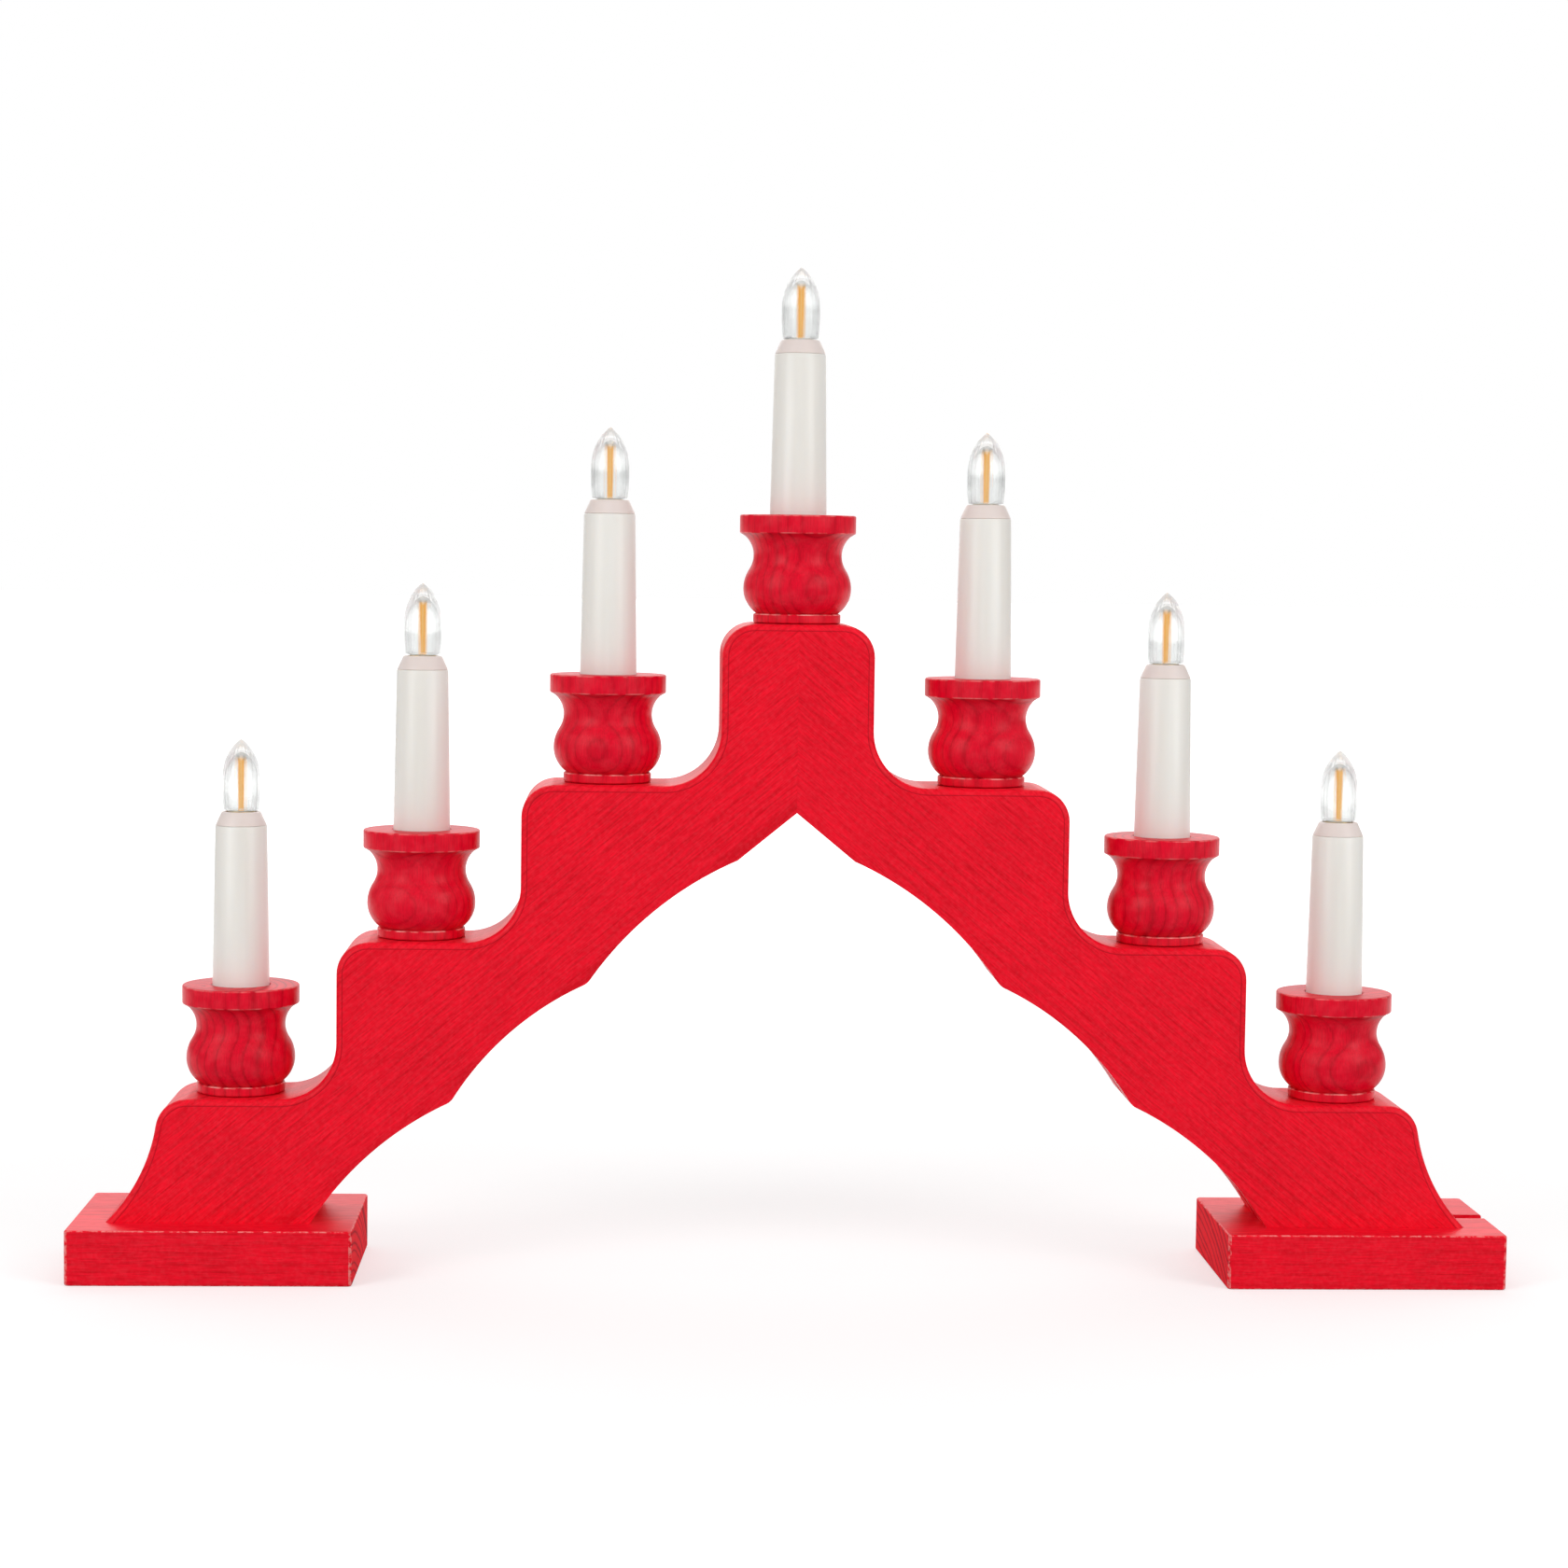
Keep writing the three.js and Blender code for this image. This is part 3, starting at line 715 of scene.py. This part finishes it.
# The base ring's upper edge and the rim's two edges, where fingers rub
def isSharpTurn(normal, radius, height):
    onRing = (normal.z > 0.15 and radius > cup["ring"] - 0.6
              and abs(height - cup["ringTall"]) < 0.5)
    rimEdge = min(abs(height - cupHeight), abs(height - cupHeight + cup["rimTall"]))
    onRim = radius > cup["rim"] - 0.3 and rimEdge < 0.4
    return 1.0 * onRing + 0.5 * onRim


cupMaster = turnedCup()
cupTurns = (0.35, -0.6, 0.15, -0.2, 0.5, -0.35, 0.75)    # how each blank happened to face
for number, ((x, shelf), turn) in enumerate(zip(cupPlaces, cupTurns), 1):
    piece = copyAt(cupMaster, f"turnedCup_{number}", x, shelf)
    smooth(piece)
    pith = (number * 37, 44 * cos(turn * 4), 24 * sin(turn * 2))
    layGrain(piece, (0, 0, 1), pith, (x, 0, shelf))
    layWearAndShade(piece, lambda normal, at: isSharpTurn(normal, hypot(at.x - x, at.y), at.z - shelf))
    piece.data.materials.append(redTurned)
    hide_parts(f"cup_{number}")
    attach(piece, "stand")
bpy.data.objects.remove(cupMaster)
print("cups made")


# Candle sleeve, in millimetres above its cup
sleeve = {
    "seat": 14, "tall": 55, "foot": 9.75, "top": 8.8, "wall": 1.2, "ledge": 0.35,
    "collarTall": 4.8, "collar": 6.55, "hole": 5.4, "ease": 0.25, "sides": 72,
    "collarEase": 0.12, "holeEase": 0.1,
    "collarCurve": ((8.68, 0.2), (6.82, 4.35), (6.6, 4.6)),
}


def candleSleeve():
    s = sleeve
    top = s["tall"] + s["collarTall"]
    startAt("sleeveMaster", s["foot"], -s["seat"])
    lineTo(s["foot"], 0)
    lineTo(s["top"] + 0.02, s["tall"] - s["ease"])
    lineTo(s["top"] - s["ease"] * 0.6, s["tall"])
    lineTo(s["top"] - s["ledge"] - 0.1, s["tall"] + 0.05)    # the line where the collar starts
    traceThrough([(radius, s["tall"] + height) for radius, height in s["collarCurve"]])
    lineTo(s["collar"] - s["collarEase"], top)
    lineTo(s["hole"] + s["holeEase"], top)
    lineTo(s["hole"], top - s["holeEase"])
    lineTo(s["top"] - s["wall"], s["tall"] - s["wall"])
    lineTo(s["foot"] - s["wall"], 0)
    lineTo(s["foot"] - s["wall"], -s["seat"])
    lineTo(s["foot"], -s["seat"])
    return turnRound(s["sides"])


# Moulded thermoplastic in a warm white, slightly see-through so that its shade is soft
def mouldedWhite(name, light, dark):
    material, tree = newMaterial(name)
    where = addNode(tree, "TexCoord").outputs["Object"]
    flow = addNode(tree, "VectorMath", {"operation": "MULTIPLY", 1: (160, 160, 12)}, {0: where})
    cloud = addNode(tree, "TexNoise", {"Scale": 1.0, "Detail": 2.0}, {"Vector": flow})
    colour = addNode(tree, "ValToRGB", {"stops": [(0.3, light), (0.7, dark)]},
                     {"Fac": cloud.outputs["Fac"]})
    grit = addNode(tree, "TexNoise", {"Scale": 2600.0, "Detail": 2.0}, {"Vector": where})
    bump = addNode(tree, "Bump", {"Strength": 0.15, "Distance": 0.01 * mm},
                   {"Height": grit.outputs["Fac"]})
    finishMaterial(tree, {
        "Roughness": 0.38, "IOR": 1.49, "Subsurface Weight": 0.25,
        "Subsurface Radius": (1.0, 0.85, 0.7), "Subsurface Scale": 1.5 * mm},
        {"Base Color": colour.outputs["Color"], "Normal": bump})
    return material


whitePlastic = mouldedWhite("mouldedPolypropylene", "#F0EDE7", "#EAE6DF")
thinPlastic = mouldedWhite("thinPolypropylene", "#EADDD8", "#E6D8D2")    # warmer where it is thin
sleeveMaster = candleSleeve()
for number, (x, shelf) in enumerate(cupPlaces, 1):
    piece = copyAt(sleeveMaster, f"candleSleeve_{number}", x, shelf + cupHeight)
    smooth(piece, 50)
    piece.data.materials.append(whitePlastic)
    piece.data.materials.append(thinPlastic)
    ledge = (shelf + cupHeight + sleeve["tall"]) * mm
    for face in piece.data.polygons:
        face.material_index = int(face.center.z > ledge + 0.1 * mm)
    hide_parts(f"sleeve_{number}")
    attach(piece, "stand")
bpy.data.objects.remove(sleeveMaster)
print("sleeves made")


# Bulb, in millimetres above its cup
bulb = {
    "base": 60.1,          # glass foot
    "tall": 24.7,
    "foot": 6.05, "belly": 6.6, "bellyShare": 0.34, "tipBend": 0.78,
    "rings": (0, 0.02, 0.08, 0.2, 0.34, 0.48, 0.6, 0.7, 0.79, 0.86, 0.915, 0.955, 0.98, 0.995),
    "wall": 0.5, "mouth": 5.05, "tipThick": 4.6,
    "hollowRings": (0.03, 0.2, 0.45, 0.65, 0.8, 0.9, 0.96, 0.99),
    "flutes": 24, "fluteDeep": 0.045,
    "crest": 1.022,        # share that subdividing takes off the flutes' crests again
    "tipSpare": 0.01,      # mm that it takes off the tip again
}


def glassRadius(height):
    belly = bulb["tall"] * bulb["bellyShare"]
    if height < belly:
        return bulb["belly"] - (bulb["belly"] - bulb["foot"]) * (1 - height / belly) ** 2
    share = (height - belly) / (bulb["tall"] - belly)
    return bulb["belly"] * cos(pi / 2 * share ** 1.5) ** bulb["tipBend"]


def hollowRadius(height):
    top = bulb["tall"] - bulb["tipThick"]
    return (glassRadius(height) - bulb["wall"]) * sqrt(max(0, 1 - (height / top) ** 6))


def raiseRing(height, ratio=1.0, shift=0.0):
    extrudeBy(shift, 0, height)
    bpy.ops.transform.resize(value=(ratio, ratio, 1))


# Raises the selected ring through rings of the given heights and radii and closes it at a point
def raiseDome(rings, top):
    for (height, radius), (nextHeight, nextRadius) in zip(rings, rings[1:]):
        raiseRing(nextHeight - height, nextRadius / radius)
    extrudeBy(0, 0, top - rings[-1][0])
    bpy.ops.mesh.merge(type="CENTER")


def flutedGlass():
    outerHeights = [bulb["tall"] * share for share in bulb["rings"]]
    top = bulb["tall"] - bulb["tipThick"]
    innerHeights = [top * share for share in bulb["hollowRings"]]
    ring = {"vertices": bulb["flutes"] * 2, "fill_type": "NOTHING"}
    deselectAll()
    bpy.ops.mesh.primitive_circle_add(radius=bulb["foot"] * mm, **ring)
    bpy.context.object.name = "glassMaster"
    bpy.ops.object.mode_set(mode="EDIT")
    pick("verts", lambda vert: vert.index % 2)
    bpy.ops.transform.resize(value=(1 - bulb["fluteDeep"], 1 - bulb["fluteDeep"], 1))
    bpy.ops.mesh.select_all(action="SELECT")
    bpy.ops.transform.resize(value=(bulb["crest"], bulb["crest"], 1))
    raiseDome([(height, glassRadius(height)) for height in outerHeights],
              bulb["tall"] + bulb["tipSpare"])
    bpy.ops.mesh.select_all(action="DESELECT")
    bpy.ops.mesh.primitive_circle_add(radius=bulb["mouth"] * mm, **ring)
    raiseDome([(0, bulb["mouth"])] + [(height, hollowRadius(height)) for height in innerHeights],
              top)
    pick("edges", lambda edge: all(abs(vert.co.z) < 0.01 * mm for vert in edge.verts))
    bpy.ops.mesh.bridge_edge_loops()
    closeUp()
    bpy.ops.object.mode_set(mode="OBJECT")
    applyModifier(bpy.context.object, "SUBSURF", levels=2, render_levels=2)
    return bpy.context.object


# Clear blown glass: thin walls that only show where they turn away from the eye
def clearGlass():
    material, tree = newMaterial("blownGlass")
    where = addNode(tree, "TexCoord").outputs["Object"]
    swirl = addNode(tree, "TexNoise", {"Scale": 220.0, "Detail": 1.0}, {"Vector": where})
    bump = addNode(tree, "Bump", {"Strength": 0.08, "Distance": 0.1 * mm},
                   {"Height": swirl.outputs["Fac"]})
    finishMaterial(tree, {
        "Base Color": toLinear("#ECEEED"), "Roughness": 0.0, "IOR": 1.5, "Transmission Weight": 1.0,
        "Alpha": 0.5}, {"Normal": bump})
    return material


glass = clearGlass()
glassMaster = flutedGlass()
for number, (x, shelf) in enumerate(cupPlaces, 1):
    base = shelf + cupHeight + bulb["base"]
    piece = copyAt(glassMaster, f"flutedGlass_{number}", x, base, number * 0.09)
    smooth(piece, 60)
    piece.data.materials.append(glass)
    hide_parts(f"bulb_glass_{number}")
    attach(piece, f"bulb_{number}")
bpy.data.objects.remove(glassMaster)
print("glasses made")


# Metal, lampholders and filaments: two near tones and a fine grit, so many to the metre and so
# many millimetres deep
def plainFinish(name, colour, settings, grit, depth):
    material, tree = newMaterial(name)
    where = addNode(tree, "TexCoord").outputs["Object"]
    noise = addNode(tree, "TexNoise", {"Scale": grit, "Detail": 3.0}, {"Vector": where})
    tone = addNode(tree, "ValToRGB", {"stops": [(0.3, colour[0]), (0.7, colour[1])]},
                   {"Fac": noise.outputs["Fac"]})
    bump = addNode(tree, "Bump", {"Strength": 0.3, "Distance": depth * mm},
                   {"Height": noise.outputs["Fac"]})
    finishMaterial(tree, settings, {"Base Color": tone.outputs["Color"], "Normal": bump})
    return material


# Rolled brass is warm and bright, solder and zinc are greyer and duller
brass = plainFinish("rolledBrass", ("#D9B468", "#C79E4E"),
                    {"Metallic": 1.0, "Roughness": 0.28}, 900.0, 0.02)
solder = plainFinish("tinSolder", ("#C4C5C6", "#A9AAAC"),
                     {"Metallic": 1.0, "Roughness": 0.42}, 1500.0, 0.03)
zinc = plainFinish("zincPlatedSteel", ("#C9CBC8", "#B4B6B2"),
                   {"Metallic": 1.0, "Roughness": 0.33}, 1200.0, 0.01)
# Urea is an even chalky white, on the lampholders and as the cement round the glass
urea = plainFinish("whiteUrea", ("#F1EFE8", "#E8E5DC"), {"Roughness": 0.45}, 1800.0, 0.01)
# The phosphor gel and the chip row glow faintly: painted light, standing in for the daylight that
# the glass keeps from the unlit strip
phosphor = plainFinish(
    "phosphorGel", ("#F6B85A", "#EBA440"),
    {"Roughness": 0.5, "Emission Color": toLinear("#F0B04C"), "Emission Strength": 0.3},
    3000.0, 0.01)
# the chip row's glow is painted light too
chipRow = plainFinish(
    "chipRow", ("#F8C88A", "#F2BA74"),
    {"Roughness": 0.4, "Emission Color": toLinear("#F2BC6A"), "Emission Strength": 0.3},
    3000.0, 0.01)

# Filament strip, in millimetres above the glass foot: amber gel over a paler row of chips, and
# welded steel prongs at its top
strip = {
    "low": 0.8, "tall": 17.3, "wideLow": 1.35, "wideHigh": 1.9, "thick": 0.6,
    "core": 0.6, "coreThick": 0.8, "prong": 0.5, "prongTall": 1.7, "prongThick": 0.3, "ease": 0.12,
    "prongEase": 0.06, "gelIn": 0.1, "coreIn": (0.2, 0.3),
}


# Bar from low to high with its own width at either end and eased edges
def taperedBar(material, x, low, high, wideLow, wideHigh, thick, ease):
    block("bar", (-wideLow / 2, -thick / 2, low), (wideLow / 2, thick / 2, high))
    bpy.ops.object.mode_set(mode="EDIT")
    pick("verts", lambda vert: vert.co.z > (low + high) / 2 * mm)
    bpy.ops.transform.resize(value=(wideHigh / wideLow, 1, 1), center_override=(0, 0, high * mm))
    bpy.ops.mesh.select_all(action="SELECT")
    bpy.ops.mesh.bevel(offset=ease * mm, segments=3, profile=0.5, affect="EDGES")
    bpy.ops.transform.translate(value=(x * mm, 0, 0))
    bpy.ops.object.mode_set(mode="OBJECT")
    bpy.context.object.data.materials.append(material)
    return bpy.context.object


def filamentStrip():
    s = strip
    top = s["low"] + s["tall"]
    gelTop = top - s["prongTall"] / 2
    reach = s["wideHigh"] / 2 - s["prong"] / 2
    gel = taperedBar(phosphor, 0, s["low"], gelTop, s["wideLow"], s["wideHigh"] - s["gelIn"],
                     s["thick"], s["ease"])
    chips = taperedBar(chipRow, 0, s["low"] + s["coreIn"][0], gelTop - s["coreIn"][1],
                       s["core"], s["core"], s["coreThick"], s["ease"])
    prongs = [taperedBar(zinc, side * reach, top - s["prongTall"], top, s["prong"], s["prong"],
                         s["prongThick"], s["prongEase"]) for side in (-1, 1)]
    return joined("stripMaster", [gel, chips, *prongs])


# Screw cap, in millimetres above the glass foot
cap = {
    "low": -16.9, "high": 0.1,
    "radius": 4.75, "tip": 3.45, "tipTall": 1.3, "neck": 4.6,
    "pitch": 1.81, "turns": 5.5, "offset": 0.3,
    "waist": 0.35,         # how far the band over the thread draws in
    "waistTall": 0.7, "drawTall": 0.4, "tipEase": 0.3, "topEase": 0.3,
}


# Raises the selected ring up a screw: a ring that sits off its axis and turns as it climbs
# leaves a round rolled thread
def climb(pitch, turns, stepsPerTurn=12):
    for _ in range(round(turns * stepsPerTurn)):
        extrudeBy(0, 0, pitch / stepsPerTurn)
        bpy.ops.transform.rotate(
            value=-tau / stepsPerTurn, orient_axis="Z", center_override=(0, 0, 0))


# Starts a turned metal piece with a round face at the given height, its rim selected
def startDisc(name, sides, radius, z):
    deselectAll()
    bpy.ops.mesh.primitive_circle_add(
        vertices=sides, radius=radius * mm, fill_type="NGON", location=(0, 0, z * mm))
    bpy.context.object.name = name
    applyPlace()
    bpy.ops.object.mode_set(mode="EDIT")
    bpy.ops.mesh.select_mode(type="EDGE")
    bpy.ops.mesh.select_all(action="SELECT")
    bpy.ops.mesh.region_to_loop()


# Closes it at the ring that it has come to
def endDisc(material):
    bpy.ops.mesh.edge_face_add()
    closeUp()
    bpy.ops.object.mode_set(mode="OBJECT")
    bpy.context.object.data.materials.append(material)
    return bpy.context.object


def threadedCap():
    c = cap
    crest = c["radius"] - c["offset"]
    neck, waist, ease = c["neck"], c["neck"] - c["waist"], c["topEase"]
    startDisc("capMaster", 36, c["tip"], c["low"])
    dome = crest - c["tipEase"]
    raiseRing(c["tipTall"] * 0.6, dome / c["tip"])
    raiseRing(c["tipTall"] * 0.4, crest / dome, c["offset"])
    climb(c["pitch"], c["turns"])
    half = 1 if c["turns"] % 1 == 0.5 else -1     # the side that the ring ends on
    climbed = c["low"] + c["tipTall"] + c["pitch"] * c["turns"]
    raiseRing(c["drawTall"], waist / crest, half * c["offset"])
    raiseRing(c["waistTall"])
    raiseRing(c["drawTall"], neck / waist)
    raiseRing(c["high"] - ease - climbed - 2 * c["drawTall"] - c["waistTall"])
    raiseRing(ease, (neck - ease) / neck)
    piece = endDisc(brass)
    piece.data.materials.append(urea)    # cement that holds the glass
    for face in piece.data.polygons:
        face.material_index = int(face.center.z > (c["high"] - 0.5) * mm)
    return piece


for master, node, slotName in (
        (filamentStrip(), "bulb_filament", "phosphor"), (threadedCap(), "bulb_cap", "cap_brass")):
    for number, (x, shelf) in enumerate(cupPlaces, 1):
        piece = copyAt(master, f"{node}Piece_{number}", x, shelf + cupHeight + bulb["base"])
        smooth(piece, 50)
        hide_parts(f"{node}_{number}")
        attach(piece, f"bulb_{number}")
    bpy.data.objects.remove(master)
print("filaments and caps made")


# Countersunk wood screw, in millimetres from the floor
screw = {
    "head": 4.2, "coneTall": 2.6, "shank": 2.1, "core": 1.75, "offset": 0.35, "plain": 9,
    "rimTall": 0.25, "runIn": 0.5, "pitch": 2.2, "turns": 9, "tip": 0.3,
    "recess": 4.6, "recessWide": 1.1, "recessDeep": 2.0, "recessTaper": 0.35,
}


def woodScrew():
    s = screw
    startDisc("screwMaster", 32, s["head"], screwLow)
    raiseRing(s["rimTall"])
    raiseRing(s["coneTall"] - s["rimTall"], s["shank"] / s["head"])
    raiseRing(s["plain"])
    raiseRing(s["runIn"], s["core"] / s["shank"], s["offset"])
    climb(s["pitch"], s["turns"])
    climbed = screwLow + s["coneTall"] + s["plain"] + s["runIn"] + s["pitch"] * s["turns"]
    raiseRing(screwHigh - climbed, s["tip"] / s["core"], -s["offset"])
    piece = endDisc(zinc)
    slots = []
    for turned in (0, pi / 2):
        deselectAll()
        bpy.ops.mesh.primitive_cube_add(
            size=1, location=(0, 0, screwLow * mm), rotation=(0, 0, turned),
            scale=(s["recess"] * mm, s["recessWide"] * mm, 2 * s["recessDeep"] * mm))
        applyPlace()
        bpy.ops.object.mode_set(mode="EDIT")
        pick("verts", lambda vert: vert.co.z > screwLow * mm)
        bpy.ops.transform.resize(
            value=(s["recessTaper"], s["recessTaper"], 1), center_override=(0, 0, 0))
        bpy.ops.object.mode_set(mode="OBJECT")
        bpy.context.object.data.materials.append(zinc)
        slots.append(bpy.context.object)
    cutAway(piece, slots)
    return piece


screwMaster = woodScrew()
for side, sideName in ((-1, "left"), (1, "right")):
    for (x, y), row in zip(screwSpots, ("front", "back")):
        piece = copyAt(screwMaster, f"woodScrew_{sideName}_{row}", side * x, 0, y=y)
        smooth(piece, 40)
        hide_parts(f"screw_{sideName}_{row}")
        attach(piece, "stand")
bpy.data.objects.remove(screwMaster)
print("screws made")


# Gives its finish to a solid of the frame that stays as it is
def dress(node, material):
    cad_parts[node].data.materials.clear()
    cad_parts[node].data.materials.append(material)


for number in range(1, 8):
    dress(f"lampholder_{number}", urea)
    dress(f"bulb_contact_{number}", solder)
for number in (1, 2):
    dress(f"dowel_{number}", rawPine)


# Camera, from the photograph's perspective
view = {
    "lens": 73.64, "place": (-54.7, -1107.0, 250.6),
    "yaw": 2.641, "pitch": 4.177, "roll": 0.774,
}
camera = bpy.data.objects.new("photoCamera", bpy.data.cameras.new("photoCamera"))
bpy.context.scene.collection.objects.link(camera)
camera.data.sensor_width = 36
camera.data.lens = view["lens"]
turn = (Matrix.Rotation(-radians(view["yaw"]), 4, "Z")
        @ Matrix.Rotation(radians(90 - view["pitch"]), 4, "X")
        @ Matrix.Rotation(radians(view["roll"]), 4, "Z"))
camera.matrix_world = Matrix.Translation(Vector(view["place"]) * mm) @ turn
bpy.context.scene.camera = camera

# Pale floor and soft studio light
studio = {
    "fill": 0.62,          # the room's brightness for matt surfaces
    "dim": 0.1,            # for gloss, at its front and sides
    "shine": 1.1,          # for gloss, more than white above the backdrop
    "ceiling": 0.25,       # for glass, overhead
    "paper": "#C4C4C4",
    "paperFront": 1.3,     # metres of sweep in front of the object
    "lift": (0.51, 1.0),   # glow that keeps the sweep white to the eye, near and far
    "lampPlace": (1.35, -1.1, 0.9), "lampSize": (0.8, 1.1), "lampWatts": 10.8,
    "topPlace": (0, 1.0, 1.3), "topSize": (1.4, 1.0), "topWatts": 4.6,
}


# What a ray meets: its own strength for the eye, for gloss and for glass, and "matt" for the rest
def byRay(tree, matt, gloss, glass, eye):
    path = addNode(tree, "LightPath")
    strength = matt
    # a ray through clear glass counts as glossy too, so glass comes after gloss
    for ray, value in (
            ("Is Glossy Ray", gloss), ("Is Transmission Ray", glass), ("Is Camera Ray", eye)):
        strength = mix(tree, path.outputs[ray], strength, value, "FLOAT")
    return strength


# Paper sweep: takes the object's shadow and is lifted to white for the eye
def whiteSweep():
    material, tree = newMaterial("paperSweep")
    where = addNode(tree, "TexCoord").outputs["Object"]
    away = addNode(tree, "VectorMath", {"operation": "LENGTH"}, {0: where})
    near, far = studio["lift"]
    glow = mapRange(tree, away.outputs["Value"], 0.35, 1.6, near, far)
    depth = addNode(tree, "SeparateXYZ", {}, {0: where}).outputs["Y"]
    behind = mapRange(tree, depth, -0.1, 0.4, 0.0, far)
    strength = byRay(tree, 0.0, behind, glow, glow)
    paper = addNode(tree, "BsdfDiffuse", {"Color": toLinear(studio["paper"])})
    lift = addNode(tree, "Emission", {"Color": (1, 1, 1, 1)}, {"Strength": strength})
    lifted = addNode(tree, "AddShader", {}, {0: paper, 1: lift})
    addNode(tree, "OutputMaterial", {}, {"Surface": lifted})
    return material


deselectAll()
bpy.ops.mesh.primitive_plane_add(size=16, location=(0, 8 - studio["paperFront"], 0))
applyPlace()
floor = bpy.context.object
floor.name = "floor"
floor.data.materials.append(whiteSweep())

# White backdrop in a dim room: the backdrop shines along flat tops, and varnish that faces the
# camera stays deep
world = bpy.data.worlds.new("studio")
bpy.context.scene.world = world
world.use_nodes = True
room = world.node_tree
room.nodes.clear()
direction = addNode(room, "TexCoord").outputs["Generated"]
level = addNode(room, "VectorMath", {"operation": "MULTIPLY", 1: (1, 1, 0)}, {0: direction})
bearing = addNode(room, "VectorMath", {"operation": "NORMALIZE"}, {0: level})
towards = addNode(room, "SeparateXYZ", {}, {0: bearing}).outputs["Y"]
height = addNode(room, "SeparateXYZ", {}, {0: direction}).outputs["Z"]
above = mapRange(room, height, 0.05, 0.3, 1.0, 1.0 + studio["shine"])
mirrored = mapRange(room, towards, 0.75, 0.95, studio["dim"])
room.links.new(above.outputs[0], mirrored.inputs["To Max"])
through = mapRange(room, height, 0.2, 0.6, 1.0, studio["ceiling"])
strength = byRay(room, studio["fill"], mirrored, through, 1.0)
backdrop = addNode(room, "Background", {"Color": (1, 1, 1, 1)}, {"Strength": strength})
addNode(room, "OutputWorld", {}, {"Surface": backdrop})


# Two large soft lamps either side of the camera and one overhead
def softLamp(name, place, aim, size, watts):
    lamp = bpy.data.objects.new(name, bpy.data.lights.new(name, "AREA"))
    bpy.context.scene.collection.objects.link(lamp)
    lamp.data.shape = "RECTANGLE"
    lamp.data.size, lamp.data.size_y = size
    lamp.data.energy = watts
    lamp.location = place
    lamp.rotation_euler = (Vector(aim) - Vector(place)).to_track_quat("-Z", "Y").to_euler()


for name, side in (("lampLeft", -1), ("lampRight", 1)):
    x, y, z = studio["lampPlace"]
    softLamp(name, (side * x, y, z), (0, 0, 0.15), studio["lampSize"], studio["lampWatts"])
softLamp("lampTop", studio["topPlace"], (0, 0, 0), studio["topSize"], studio["topWatts"])
bpy.context.scene.view_settings.view_transform = "Standard"
print("studio set")
